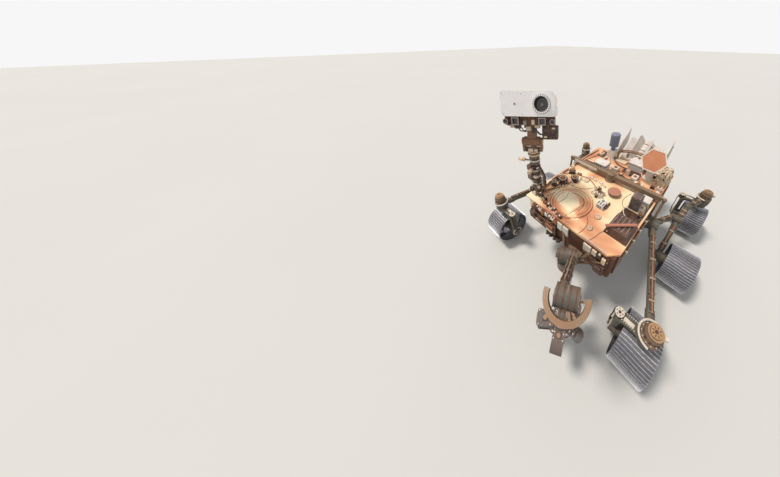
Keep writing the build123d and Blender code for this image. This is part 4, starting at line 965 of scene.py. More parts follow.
SURFACE_LINES = (
    # dark, radius, points of lines on top of the deck
    (True, 0.0062,
     ((-0.500, -0.760, 1.120), (-0.470, -0.680, 1.108), (-0.440, -0.600, 1.107), (-0.450, -0.500, 1.120))),
    (False, 0.0055, ((-0.490, -0.770, 1.125), (-0.450, -0.690, 1.107), (-0.405, -0.560, 1.106),
                     (-0.360, -0.400, 1.107), (-0.340, -0.330, 1.120))),
    (True, 0.0060, ((-0.480, -0.830, 1.130), (-0.430, -0.820, 1.108), (-0.330, -0.850, 1.107),
                    (-0.240, -0.900, 1.108), (-0.120, -0.925, 1.110))),
    (False, 0.0055, ((-0.520, -0.740, 1.110), (-0.560, -0.600, 1.107), (-0.575, -0.400, 1.107),
                     (-0.570, -0.100, 1.107), (-0.560, 0.200, 1.107), (-0.480, 0.420, 1.108))),
    (True, 0.0060, ((-0.535, -0.740, 1.110), (-0.582, -0.600, 1.107), (-0.590, -0.300, 1.107),
                    (-0.585, 0.000, 1.107), (-0.590, 0.300, 1.107), (-0.560, 0.600, 1.108))),
    (True, 0.0055, ((0.440, -0.190, 1.110), (0.450, -0.130, 1.107), (0.500, -0.110, 1.120))),
    (False, 0.0055,
     ((0.578, -0.480, 1.107), (0.586, -0.350, 1.107), (0.584, -0.200, 1.107), (0.575, -0.140, 1.110))),
    (True, 0.0060, ((0.590, -0.560, 1.107), (0.596, -0.350, 1.107), (0.594, 0.000, 1.107),
                    (0.590, 0.200, 1.107), (0.560, 0.320, 1.110))),
    (False, 0.0055,
     ((-0.200, 0.240, 1.120), (-0.180, 0.330, 1.107), (-0.230, 0.430, 1.107), (-0.270, 0.480, 1.115))),
    (True, 0.0055,
     ((0.050, 0.520, 1.130), (-0.050, 0.500, 1.107), (-0.140, 0.520, 1.107), (-0.220, 0.530, 1.120))),
    (True, 0.0055, ((0.260, 0.520, 1.125), (0.330, 0.500, 1.107), (0.350, 0.460, 1.115))),
    (False, 0.0060, ((0.420, 0.400, 1.110), (0.460, 0.390, 1.107), (0.500, 0.380, 1.115))),
)
for dark, radius, points in SURFACE_LINES:
    add_pipe(dark_runs if dark else tan_runs, [at(*point) for point in points], radius)
keep_shape("body_lines_dark", dark_runs, dark_line, "rover")
keep_shape("body_lines_tan", tan_runs, tan_line, "rover")

# Body sides: brown insulated panels behind a pocket grille, a round port ahead of a bolted beige plate,
# hoses towards the rocker's pivot. Black plates at the backs of the grille's pockets are painted shade.
# Belly pan and rear panel carry the same finish.
body_paint = finish("body_paint", shade(0.40, 0.25, 0.17), dust_amount=0.45, roughness=0.6, patch=0.08,
                    dust=shade(0.34, 0.20, 0.13))
plate_paint = finish("plate_paint", shade(0.70, 0.58, 0.44), dust_amount=0.30, roughness=0.5, patch=0.07)
dress(body_paint, "body_box", "side_panels", "belly_pan", "front_panel", "rear_panel")
SIDE_X = 0.624
PORT_YZ = (-0.410, 0.966)
SIDE_PLATES = (
    # first y, last y, low z, high z, inner x, outer x
    (-0.308, -0.168, 0.742, 0.998, 0.6315, 0.634),
    (0.084, 0.568, 0.772, 0.998, 0.6315, 0.634),
    (-0.846, -0.834, 0.712, 1.030, 0.6238, 0.626),
    (-0.486, -0.474, 0.712, 0.880, 0.6238, 0.626),
)
SIDE_HOSE = ((0.632, -0.840, 1.000), (0.640, -0.700, 1.012), (0.638, -0.520, 1.008), (0.640, -0.340, 1.014),
             (0.645, -0.200, 0.980), (0.650, -0.130, 0.900))


def add_side_box(shape, side, low, high, place=origin, edge=0.002):
    """Block between two corners given for the left side, or its mirror image on the right."""
    near, far = sorted((side * low[0], side * high[0]))
    add_box(shape, (near, *low[1:]), (far, *high[1:]), place, edge)


grille = bmesh.new()
beige = bmesh.new()
side_bolts = []
hoses = bmesh.new()
for side in (-1, 1):
    out = Vector((side, 0, 0))
    # black plates at the backs of the grille's pockets: painted shade in the recesses
    for i in range(5):
        for j in range(4):
            y = -0.660 + 0.062 * (i - 2)
            z = 0.859 + 0.056 * (j - 1.5)
            add_side_box(grille, side, (0.6115, y - 0.022, z - 0.016), (0.613, y + 0.022, z + 0.016),
                         edge=0.0004)
    port = frame_on(at(side * 0.628, *PORT_YZ), out)
    add_cap(grille, port, 0.047, 0.004, 32)
    add_ring(beige, frame_on(at(side * 0.638, *PORT_YZ), out), 0.051, 0.0645, 0.004, 40)
    add_ring(beige, raised(port, 0.004), 0.020, 0.026, 0.004, 24)
    side_bolts += circle(frame_on(at(side * 0.642, *PORT_YZ), out), 0.058, 10)
    for y0, y1, z0, z1, inner, outer in SIDE_PLATES:
        add_side_box(beige, side, (inner, y0, z0), (outer, y1, z1), edge=0.001)
        for y in (y0 + 0.012, y1 - 0.012) if y1 - y0 > 0.1 else ((y0 + y1) / 2,):
            side_bolts += row(at(side * outer, y, z0 + 0.014), at(side * outer, y, z1 - 0.014), 6, out)
    for lift in (0.0, 0.020):
        add_pipe(hoses, [at(side * x, y, z + lift) for x, y, z in SIDE_HOSE], 0.0075)
    for y in (-0.860, 0.628):
        side_bolts += row(at(side * SIDE_X, y, 0.715), at(side * SIDE_X, y, 1.035), 9, out)
    side_bolts += row(at(side * SIDE_X, -0.800, 0.708), at(side * SIDE_X, 0.560, 0.708), 26, out)
    for y in (-0.760, -0.600, -0.440, -0.280):
        add_side_box(SMALL_PARTS["white"], side, (SIDE_X, y - 0.008, 0.996), (0.652, y + 0.008, 1.046))
keep_shape("grille_backs", grille, black_paint, "rover")
keep_shape("side_plates", beige, plate_paint, "rover")
keep_shape("side_hoses", hoses, tan_line, "rover")
fasten("side_bolts", side_bolts, 0.0055, "rover")

# Mast: a painted tube with clamp collars, harness boxes and sensor booms. Dark and tan lines wind
# round it under white clamps, and cream capsules close the booms.
MAST = (-0.560, -0.804)
HEAD_PAN = 40
HEAD_TILT = 20
TILT_Z = 1.796
mast_paint = finish("mast_paint", shade(0.37, 0.33, 0.29), dust_amount=0.30, roughness=0.45, patch=0.06)
neck_paint = finish("neck_paint", shade(0.50, 0.38, 0.28), dust_amount=0.35, roughness=0.5, patch=0.05)
dress(mast_paint, "mast")
dress(neck_paint, "mast_yoke", "head_neck")
mast_foot = stand(*MAST, 0)
dark_runs = bmesh.new()
tan_runs = bmesh.new()
MAST_RUNS = (
    # start in degrees, turns, low z, high z, reach, radius, dark
    (20, 1.6, 1.215, 1.600, 0.051, 0.0070, True),
    (120, 1.3, 1.230, 1.560, 0.049, 0.0060, False),
    (250, 1.9, 1.220, 1.500, 0.050, 0.0065, True),
    (300, 0.8, 1.235, 1.610, 0.053, 0.0055, False),
)
for start, turns, low, high, reach, radius, dark in MAST_RUNS:
    run = []
    for i in range(14):
        share = i / 13
        angle = radians(start) + tau * turns * share
        out = reach + 0.010 * (0.5 - 0.5 * cos(tau * 3 * share))
        run.append(mast_foot @ polar(out, angle, low + (high - low) * share))
    add_pipe(dark_runs if dark else tan_runs, run, radius)
for dx, dark in ((0.136, True), (0.112, False)):
    loop = ((0.050, 0.012, 1.520), (dx, 0.014, 1.440), (dx + 0.006, 0.014, 1.330), (dx, 0.012, 1.240),
            (0.054, 0.010, 1.170))
    add_pipe(dark_runs if dark else tan_runs, [mast_foot @ Vector(point) for point in loop], 0.0085)
keep_shape("mast_lines_dark", dark_runs, dark_line, "rover")
keep_shape("mast_lines_tan", tan_runs, tan_line, "rover")
for z, wide in ((1.262, 0.016), (1.364, 0.022), (1.452, 0.014), (1.486, 0.018), (1.576, 0.014)):
    add_ring(SMALL_PARTS["white"], raised(mast_foot, z), 0.046, 0.0605, wide, 28)
MAST_PARTS = (
    # finish, x, y, z from the mast's foot, size x, size y, size z
    ("white", 0.040, -0.044, 1.382, 0.034, 0.030, 0.040),
    ("white", -0.012, -0.058, 1.452, 0.040, 0.030, 0.030),
    ("black", 0.036, -0.048, 1.500, 0.030, 0.032, 0.044),
    ("cream", -0.046, -0.036, 1.290, 0.034, 0.030, 0.040),
    ("black", 0.048, -0.020, 1.300, 0.030, 0.040, 0.050),
    ("white", 0.066, -0.036, 1.236, 0.030, 0.026, 0.034),
    ("cream", -0.066, -0.020, 1.180, 0.034, 0.040, 0.050),
    ("black", -0.030, -0.070, 1.170, 0.050, 0.026, 0.060),
    ("white", 0.020, -0.074, 1.140, 0.036, 0.024, 0.040),
    ("bronze", 0.074, -0.030, 1.140, 0.026, 0.050, 0.044),
)
for kind, x, y, z, wide, deep, tall in MAST_PARTS:
    low = (x - wide / 2, y - deep / 2, z - tall / 2)
    high = (x + wide / 2, y + deep / 2, z + tall / 2)
    add_box(SMALL_PARTS[kind], low, high, mast_foot, edge=0.003)
CAPSULE = [(0, 0), (0.017, 0.003), (0.0215, 0.012), (0.0215, 0.066), (0.014, 0.079), (0, 0.0795)]
for z, heading, length in ((1.560, -62, 0.190), (1.490, 18, 0.150)):
    along = Vector((sin(radians(heading)), -cos(radians(heading)), 0))
    tip = frame_on(mast_foot @ (Vector((0, 0, z)) + along * (length - 0.078)), along)
    add_lathe(SMALL_PARTS["cream"], CAPSULE, 20, tip)
    add_ring(SMALL_PARTS["bronze"], raised(tip, 0.020), 0.021, 0.0232, 0.006, 20)
mast_bolts = []
for z in (1.300, 1.420, 1.540, 1.614):
    for i in range(8):
        out = Matrix.Rotation(tau * (i + 0.5) / 8, 4, "Z") @ Vector((1, 0, 0))
        mast_bolts.append((mast_foot @ (out * 0.0560 + Vector((0, 0, z + 0.013))), out))
for dx in (-0.050, 0.050):
    for dy in (-0.050, 0.050):
        mast_bolts.append((mast_foot @ Vector((dx, dy, 1.146)), UP))
fasten("mast_bolts", mast_bolts, 0.0045, "rover")

turning = turned(mast_foot, radians(HEAD_PAN))
shape = bmesh.new()
yoke_spots = []
for side in (-1, 1):
    out = turning.to_3x3() @ Vector((side, 0, 0))
    ear = frame_on(turning @ Vector((side * 0.1005, 0, TILT_Z)), out)
    add_cap(shape, ear, 0.030, 0.007, 28)
    yoke_spots += circle(ear, 0.0335, 8)
add_ring(shape, raised(turning, 1.650), 0.0615, 0.0665, 0.012, 40)
add_ring(shape, raised(turning, 1.690), 0.0615, 0.0665, 0.010, 40)
add_box(shape, (-0.042, -0.060, 1.706), (0.006, -0.036, 1.738), turning)
add_box(shape, (0.018, -0.056, 1.708), (0.052, -0.036, 1.730), turning)
keep_shape("yoke_trim", shape, cream_part, "mast_yoke")
shape = bmesh.new()
for x in (-0.064, -0.052, 0.060):
    run = ((x, -0.040, 1.700), (x, -0.056, 1.715), (x + 0.004, -0.050, 1.740), (x, -0.040, 1.760))
    add_pipe(shape, [turning @ Vector(point) for point in run], 0.0055)
keep_shape("yoke_lines", shape, dark_line, "mast_yoke")
fasten("yoke_bolts", yoke_spots, 0.0045, "mast_yoke")

# Head: a white painted box with one large round window in a ring of short black marks. Under it sits a dark
# camera bar with two square and two round barrels, and a finned electronics box is bolted beside the neck.
tilt_axis = raised(turning, TILT_Z)
head = tilt_axis @ Matrix.Rotation(radians(-HEAD_TILT), 4, "X") @ Matrix.Translation((0, 0, -TILT_Z))
AHEAD = head.to_3x3() @ Vector((0, -1, 0))
WINDOW = (0.122, 2.127)
head_paint = finish("head_paint", shade(1.00, 0.98, 0.97), dust_amount=0.07, roughness=0.45, patch=0.10)
bar_paint = finish("bar_paint", shade(0.17, 0.13, 0.11), dust_amount=0.42, roughness=0.5, patch=0.04)
frame_paint = finish("frame_paint", shade(0.62, 0.60, 0.58), dust_amount=0.2, roughness=0.45, patch=0.04)
glass, tree, surface = new_material("dark_glass")
glass_place = node(tree, "ShaderNodeTexCoord").outputs["Object"]
streaks = node(tree, "ShaderNodeTexNoise", Vector=glass_place, Scale=30.0, Detail=3.0).outputs["Fac"]
glass_tone = blend(tree, streaks, shade(0.05, 0.05, 0.06), shade(0.14, 0.12, 0.12))
tree.links.new(glass_tone, surface.inputs["Base Color"])
surface.inputs["Roughness"].default_value = 0.08
surface.inputs["Coat Weight"].default_value = 0.6
dress(head_paint, "head_box")
dress(bar_paint, "camera_bar", "head_electronics")


def facing(x, y, z):
    """Frame on the head's front at a place of the head, its Z looking ahead."""
    return frame_on(head @ Vector((x, y, z)), AHEAD)


SQUARE_Z = 1.986
ROUND_Z = 1.984
FIN_LOW, FIN_HIGH = 1.829, 1.949
SCREW_MARKS = 24
SQUARE_FRAME = (
    # low corner, high corner of the four bars round a square barrel
    ((-0.033, -0.033), (0.033, -0.0235)),
    ((-0.033, 0.0235), (0.033, 0.033)),
    ((-0.033, -0.0235), (-0.0235, 0.0235)),
    ((0.0235, -0.0235), (0.033, 0.0235)),
)
glass_parts = bmesh.new()
black_parts = bmesh.new()
frame_parts = bmesh.new()
add_cap(glass_parts, facing(WINDOW[0], -0.1255, WINDOW[1]), 0.0610, 0.003, 48)
add_ring(black_parts, facing(WINDOW[0], -0.1290, WINDOW[1]), 0.0560, 0.0616, 0.052, 48)
window = facing(WINDOW[0], -0.1285, WINDOW[1])
add_ring(black_parts, window, 0.0170, 0.0205, 0.004, 32)
add_cap(frame_parts, window, 0.0150, 0.006, 24)
add_ring(frame_parts, window, 0.0400, 0.0420, 0.003, 40)
add_ring(black_parts, facing(WINDOW[0], -0.1652, WINDOW[1]), 0.0755, 0.0795, 0.002, 56)
window_rim = facing(WINDOW[0], -0.1850, WINDOW[1])
for i in range(SCREW_MARKS):
    turn = turned(window_rim, tau * i / SCREW_MARKS)
    add_box(black_parts, (0.0645, -0.0020, 0), (0.0735, 0.0020, 0.0012), turn, edge=0.0003)
add_cap(frame_parts, facing(-0.110, -0.1650, WINDOW[1]), 0.0095, 0.0016, 24)
add_cap(black_parts, facing(-0.110, -0.1664, WINDOW[1]), 0.0040, 0.0012, 16)
for side in (-1, 1):
    x = side * 0.122
    for low, high in SQUARE_FRAME:
        add_box(frame_parts, (*low, 0), (*high, 0.004), facing(x, -0.146, SQUARE_Z), edge=0.001)
    square = facing(x, -0.1205, SQUARE_Z)
    add_box(glass_parts, (-0.0215, -0.0215, 0), (0.0215, 0.0215, 0.002), square, edge=0.0004)
    add_ring(frame_parts, facing(x, -0.1220, SQUARE_Z), 0.0125, 0.0165, 0.004, 28)
    x = side * 0.212
    add_ring(frame_parts, facing(x, -0.140, ROUND_Z), 0.0180, 0.0245, 0.002, 32)
    add_cap(glass_parts, facing(x, -0.1262, ROUND_Z), 0.0168, 0.003, 28)
for i in range(11):
    x = 0.118 + 0.0132 * i
    add_box(black_parts, (x, -0.0955, FIN_LOW), (x + 0.004, -0.0895, FIN_HIGH), head, edge=0.0006)
for i in range(11):
    y = -0.084 + 0.0134 * i
    add_box(black_parts, (0.2555, y, FIN_LOW), (0.2605, y + 0.004, FIN_HIGH), head, edge=0.0006)
HEAD_PARTS = (
    # finish, low corner, high corner
    ("frame", (-0.205, -0.112, 1.944), (-0.168, -0.086, 1.957)),
    ("frame", (-0.060, -0.108, 1.956), (-0.030, -0.096, 1.992)),
    ("cream", (0.018, -0.110, 1.958), (0.048, -0.098, 2.000)),
    ("cream", (-0.200, -0.060, 1.925), (-0.160, -0.020, 1.955)),
    ("cream", (-0.052, -0.044, 1.900), (0.000, -0.032, 1.940)),
    ("black", (0.008, -0.048, 1.880), (0.046, -0.032, 1.925)),
    ("cream", (0.130, -0.104, 1.842), (0.160, -0.094, 1.858)),
    ("cream", (0.205, -0.104, 1.920), (0.236, -0.094, 1.936)),
    ("black", (-0.150, -0.070, 1.918), (-0.100, -0.010, 1.955)),
    ("cream", (0.040, -0.070, 1.928), (0.088, -0.030, 1.955)),
)
cream_parts = bmesh.new()
head_shapes = {"frame": frame_parts, "cream": cream_parts, "black": black_parts}
for kind, low, high in HEAD_PARTS:
    add_box(head_shapes[kind], low, high, head, edge=0.002)
for y in (-0.040, -0.015, 0.010):
    run = ((0.114, y, 1.868), (0.090, y - 0.016, 1.862), (0.064, y - 0.014, 1.884), (0.044, y, 1.900))
    add_pipe(black_parts, [head @ Vector(point) for point in run], 0.0052)
for x, reach in ((-0.130, 0.012), (-0.096, 0.020)):
    run = ((x, -0.020, 1.925), (x + 0.020, -0.034, 1.905 - reach), (x + 0.050, -0.030, 1.895),
           (-0.044, -0.020, 1.905))
    add_pipe(black_parts, [head @ Vector(point) for point in run], 0.0055)
keep_shape("head_glass", glass_parts, glass, "mast_head")
keep_shape("head_black_parts", black_parts, black_paint, "mast_head")
keep_shape("head_frames", frame_parts, frame_paint, "mast_head")
keep_shape("head_cream_parts", cream_parts, cream_part, "mast_head")
head_spots = []
for x in (-0.214, -0.050, 0.214):
    for z in (2.048, 2.206):
        head_spots.append((head @ Vector((x, -0.165, z)), AHEAD))
right = head.to_3x3() @ Vector((1, 0, 0))
for side in (-1, 1):
    for y in (-0.120, 0.000, 0.120):
        for z in (2.060, 2.194):
            if side < 0 or y > -0.1:
                head_spots.append((head @ Vector((side * 0.235, y, z)), right * side))
    for y in (-0.080, 0.000, 0.035):
        head_spots.append((head @ Vector((side * 0.229, y, 1.972)), right * side))
for x in (-0.180, -0.090, 0.090, 0.180):
    head_spots.append((head @ Vector((x, 0.165, 2.060)), -AHEAD))
    head_spots.append((head @ Vector((x, 0.165, 2.194)), -AHEAD))
fasten("head_bolts", head_spots, 0.0042, "mast_head")

# Deck clutter: the sample inlets and a third reel near the deck's right edge, and connectors, brackets,
# trays and lines all over the deck. Painted metal boxes, bolted at their corners. The black trays are thin
# dark sheets laid under and between the parts as painted shade.
dress(black_paint, "sample_inlets")
REELS = (
    # x, y, radius, top z
    (-0.440, -0.470, 0.062, 1.184),
    (-0.350, -0.330, 0.054, 1.170),
    (-0.500, -0.580, 0.040, 1.160),
)
reel_spots = []
for x, y, radius, top in REELS:
    place = stand(x, y, top)
    add_ring(SMALL_PARTS["cream"], place, radius * 0.62, radius * 0.74, 0.005, 32)
    add_cap(SMALL_PARTS["bronze"], place, radius * 0.34, 0.010, 24)
    reel_spots += circle(place, radius * 0.87, 8)
    for i in range(6):
        turn = turned(stand(x, y, 1.122), tau * i / 6)
        low, high = (radius - 0.020, -0.004, 0), (radius - 0.010, 0.004, top - 1.148)
        add_box(SMALL_PARTS["bronze" if i % 2 else "white"], low, high, turn)
DECK_PARTS = (
    # finish, x, y, height over the deck's middle, size x, size y, size z, turn about Z in degrees
    ("cream", -0.372, -0.512, 0.012, 0.060, 0.040, 0.024, 25),
    ("white", -0.300, -0.420, 0.014, 0.030, 0.024, 0.028, 0),
    ("bronze", -0.470, -0.390, 0.020, 0.080, 0.040, 0.040, -20),
    ("black", -0.520, -0.460, 0.030, 0.050, 0.070, 0.060, 0),
    ("cream", -0.560, -0.380, 0.020, 0.040, 0.060, 0.040, 0),
    ("white", -0.420, -0.290, 0.016, 0.050, 0.030, 0.032, 15),
    ("black", -0.480, -0.220, 0.026, 0.090, 0.060, 0.052, 30),
    ("bronze", -0.380, -0.180, 0.016, 0.060, 0.040, 0.032, 0),
    ("cream", -0.560, -0.150, 0.022, 0.050, 0.110, 0.044, 0),
    ("white", -0.300, -0.250, 0.012, 0.036, 0.036, 0.024, 40),
    ("black", 0.010, -0.265, 0.024, 0.044, 0.030, 0.048, 12),
    ("white", -0.030, -0.290, 0.018, 0.034, 0.030, 0.036, 0),
    ("black", 0.060, -0.330, 0.030, 0.060, 0.034, 0.060, -20),
    ("white", 0.086, -0.378, 0.034, 0.050, 0.036, 0.068, 10),
    ("black", 0.040, -0.392, 0.018, 0.030, 0.040, 0.036, 0),
    ("cream", 0.094, -0.306, 0.020, 0.036, 0.030, 0.040, 30),
    ("black", 0.228, -0.440, 0.016, 0.016, 0.110, 0.032, 0),
    ("white", -0.020, -0.150, 0.012, 0.120, 0.026, 0.024, -18),
    ("white", -0.180, -0.130, 0.012, 0.120, 0.026, 0.024, -8),
    ("cream", 0.340, 0.120, 0.030, 0.120, 0.090, 0.060, 0),
    ("white", 0.240, 0.250, 0.026, 0.080, 0.110, 0.052, 0),
    ("black", 0.300, 0.200, 0.020, 0.030, 0.030, 0.040, 0),
    ("cream", 0.120, 0.280, 0.045, 0.050, 0.050, 0.090, 0),
    ("bronze", 0.060, 0.200, 0.016, 0.070, 0.040, 0.032, 20),
    ("white", -0.060, 0.260, 0.030, 0.090, 0.090, 0.060, 0),
    ("cream", -0.440, 0.500, 0.024, 0.060, 0.080, 0.048, 0),
    ("black", -0.440, 0.100, 0.020, 0.060, 0.050, 0.040, 0),
    ("white", 0.540, -0.230, 0.022, 0.050, 0.080, 0.044, 0),
    ("black", 0.560, -0.330, 0.020, 0.044, 0.060, 0.040, 0),
    ("cream", 0.576, 0.120, 0.020, 0.040, 0.120, 0.040, 0),
    ("bronze", 0.500, 0.120, 0.018, 0.060, 0.060, 0.036, 0),
    ("white", 0.566, 0.240, 0.028, 0.056, 0.050, 0.056, 0),
    ("black", 0.490, 0.230, 0.022, 0.050, 0.040, 0.044, 0),
)
for kind, x, y, z, wide, deep, tall, turn in DECK_PARTS:
    place = turned(stand(x, y, DECK_Z + z), radians(turn))
    add_block(SMALL_PARTS[kind], wide, deep, tall, place)
    cap_kind = "bronze" if kind != "bronze" else "cream"
    add_cap(SMALL_PARTS[cap_kind], raised(place, tall / 2), min(wide, deep) * 0.30, 0.006, 16)
    for u in (-1, 1):
        for v in (-1, 1):
            corner = (u * (wide / 2 - 0.006), v * (deep / 2 - 0.006), tall / 2)
            reel_spots.append((place @ Vector(corner), UP))
DECK_LINES = (
    # finish, pipe radius, points on the deck (x, y, height over it)
    ("black", 0.0065, (-0.560, 0.120, 0.008), (-0.480, 0.150, 0.020), (-0.350, 0.190, 0.012),
     (-0.322, 0.300, 0.020), (-0.330, 0.460, 0.010)),
    ("bronze", 0.0055, (-0.540, 0.100, 0.008), (-0.460, 0.130, 0.018), (-0.340, 0.170, 0.012),
     (-0.302, 0.300, 0.018), (-0.310, 0.470, 0.010)),
    ("black", 0.0060, (-0.135, 0.170, 0.020), (-0.020, 0.140, 0.012), (0.080, 0.200, 0.026),
     (0.180, 0.160, 0.010), (0.330, 0.240, 0.014)),
    ("white", 0.0050, (-0.135, 0.140, 0.030), (-0.010, 0.110, 0.020), (0.090, 0.160, 0.020),
     (0.200, 0.120, 0.010), (0.350, 0.200, 0.014)),
    ("black", 0.0070, (0.040, 0.400, 0.010), (-0.040, 0.380, 0.030), (-0.120, 0.420, 0.012),
     (-0.200, 0.480, 0.020), (-0.220, 0.520, 0.040)),
    ("white", 0.0055, (0.260, 0.420, 0.030), (0.300, 0.360, 0.016), (0.330, 0.300, 0.030),
     (0.420, 0.300, 0.012), (0.500, 0.360, 0.030)),
    ("black", 0.0065, (0.260, 0.560, 0.020), (0.330, 0.540, 0.040), (0.400, 0.560, 0.020),
     (0.460, 0.540, 0.040), (0.480, 0.500, 0.060)),
    ("bronze", 0.0060, (0.420, 0.430, 0.030), (0.440, 0.480, 0.014), (0.420, 0.540, 0.030),
     (0.440, 0.620, 0.016), (0.500, 0.668, 0.030)),
    ("black", 0.0060, (0.560, -0.150, 0.030), (0.590, -0.190, 0.016), (0.600, -0.300, 0.012),
     (0.585, -0.400, 0.020), (0.560, -0.460, 0.050)),
    ("white", 0.0050, (0.410, -0.290, 0.030), (0.380, -0.330, 0.012), (0.400, -0.400, 0.020),
     (0.440, -0.450, 0.030), (0.460, -0.480, 0.056)),
    ("black", 0.0055, (-0.510, -0.250, 0.010), (-0.540, -0.330, 0.026), (-0.590, -0.400, 0.012),
     (-0.580, -0.520, 0.022), (-0.560, -0.640, 0.016)),
    ("bronze", 0.0050, (-0.330, -0.200, 0.010), (-0.260, -0.160, 0.020), (-0.160, -0.190, 0.008),
     (-0.080, -0.240, 0.014), (0.020, -0.290, 0.010)),
)
for kind, radius, *points in DECK_LINES:
    add_pipe(SMALL_PARTS[kind], [at(x, y, DECK_Z + height) for x, y, height in points], radius)
# the cream and white trays are trays; the black ones are thin dark sheets that paint the shade under and
# between the parts
TRAYS_AND_SHADE_SHEETS = (
    # finish, low corner (x, y), high corner (x, y), height over the deck
    ("black", (-0.560, 0.100), (-0.350, 0.210), 0.010),
    ("black", (-0.100, 0.080), (0.160, 0.190), 0.008),
    ("cream", (0.190, 0.100), (0.300, 0.180), 0.014),
    ("black", (0.020, 0.300), (0.280, 0.420), 0.010),
    ("black", (-0.500, 0.440), (-0.380, 0.640), 0.010),
    ("black", (0.300, 0.500), (0.460, 0.660), 0.010),
    ("cream", (-0.180, 0.470), (-0.010, 0.560), 0.030),
    ("white", (-0.160, 0.590), (0.030, 0.660), 0.060),
    ("black", (0.400, -0.060), (0.460, 0.060), 0.016),
    ("black", (0.380, -0.460), (0.600, -0.310), 0.008),
)
for kind, low, high, height in TRAYS_AND_SHADE_SHEETS:
    add_box(SMALL_PARTS[kind], (*low, DECK_Z), (*high, DECK_Z + height), origin, edge=0.003)
fasten("deck_part_bolts", reel_spots, 0.0036, "rover")
rods = bmesh.new()
add_pipe(rods, [at(-0.405, -0.385, 1.178), at(-0.320, -0.420, 1.160), at(-0.235, -0.455, 1.106)], 0.0070)
keep_shape("white_rod", rods, pale_paint, "rover")

# Instruments on the deck: the vented white case, the black and white calibration block, the pink disc,
# the louvred dark cover with its bar, the ribbed tower and the cases beside them.
white_paint = finish("white_paint", shade(0.92, 0.90, 0.87), dust_amount=0.24, roughness=0.5, patch=0.07)
tower_paint = finish("tower_paint", shade(0.33, 0.32, 0.32), dust_amount=0.35, roughness=0.5, patch=0.06)
cover_paint = finish("cover_paint", shade(0.21, 0.18, 0.18), dust_amount=0.30, roughness=0.45, patch=0.06)
pink_paint = finish("pink_paint", shade(0.76, 0.50, 0.42), dust_amount=0.30, roughness=0.6, patch=0.05)
dress(white_paint, "white_case", "rear_case", "side_case", "calibration_block")
dress(tower_paint, "ribbed_case")
dress(cover_paint, "dark_cover")
dress(drive_paint, "deck_disc")
trim = bmesh.new()
pale = bmesh.new()
pink = bmesh.new()
add_cap(pink, stand(0.180, -0.205, 1.148), 0.074, 0.002, 48)
bar = (at(0.380, -0.760, 1.216), at(0.602, -0.555, 1.216))
bar_place = frame_on(bar[0], bar[1] - bar[0])
add_ring(pink, bar_place, 0.0125, 0.0150, (bar[1] - bar[0]).length, 20)
for i in range(-2, 3):
    x = 0.490 + 0.040 * i
    add_box(pale, (x - 0.0052, -0.716, 1.1985), (x - 0.0034, -0.524, 1.2012), origin, edge=0.0004)
for y in (-0.700, -0.660, -0.620, -0.580, -0.540):
    add_box(trim, (0.405, y - 0.003, 1.150), (0.575, y + 0.003, 1.194), origin, edge=0.001)
for x, y in ((0.402, -0.740), (0.580, -0.575)):
    add_ring(pale, stand(x, y, 1.128), 0.009, 0.014, 0.010, 16)
block_top = stand(0.170, -0.480, 1.160)
for x in (-0.030, 0.000, 0.030):
    add_box(trim, (x - 0.006, -0.046, 0), (x + 0.006, 0.006, 0.0016), block_top, edge=0.0003)
add_ring(trim, block_top @ Matrix.Translation((0, 0.030, 0)), 0.006, 0.016, 0.0016, 24)
for z in (1.112, 1.130, 1.146):
    add_box(trim, (0.1240, -0.520, z), (0.1252, -0.444, z + 0.007), origin, edge=0.0003)
    add_box(trim, (0.140, -0.5362, z), (0.198, -0.5350, z + 0.007), origin, edge=0.0003)
    add_box(trim, (0.2148, -0.520, z), (0.2160, -0.444, z + 0.007), origin, edge=0.0003)
for x in (-0.276, -0.242, -0.208):
    add_cap(trim, frame_on(at(x, 0.075, 1.196), (0, -1, 0)), 0.010, 0.002, 20)
for y in (0.110, 0.150, 0.190):
    add_cap(trim, frame_on(at(-0.135, y, 1.190), (1, 0, 0)), 0.011, 0.002, 20)
add_box(trim, (-0.300, 0.0742, 1.128), (-0.190, 0.0752, 1.150), origin, edge=0.0003)
CASES = (
    # middle x, middle y, top z, seam's half size x, half size y, bolts' half spread x, half spread y
    (-0.230, 0.150, 1.230, 0.095, 0.075, 0.086, 0.066),
    (0.150, 0.520, 1.212, 0.110, 0.090, 0.100, 0.080),
    (0.525, -0.090, 1.170, 0.055, 0.060, 0.046, 0.050),
    (0.460, -0.240, 1.290, None, None, 0.036, 0.044),
)
for x, y, top, half_x, half_y, spread_x, spread_y in CASES:
    if half_x:
        low = (x - half_x - 0.002, y - half_y - 0.002, top - 0.022)
        high = (x + half_x + 0.002, y + half_y + 0.002, top - 0.016)
        add_box(trim, low, high, origin, edge=0.0006)
keep_shape("instrument_trim", trim, black_paint, "rover")
keep_shape("instrument_pale_trim", pale, pale_paint, "rover")
keep_shape("instrument_pink_trim", pink, pink_paint, "rover")
case_spots = []
for x, y, top, half_x, half_y, spread_x, spread_y in CASES:
    for edge_x in (x - spread_x, x + spread_x):
        case_spots += row(at(edge_x, y - spread_y, top), at(edge_x, y + spread_y, top), 4)
case_spots += circle(stand(0.180, -0.205, 1.150), 0.064, 10)
fasten("case_bolts", case_spots, 0.0042, "rover")

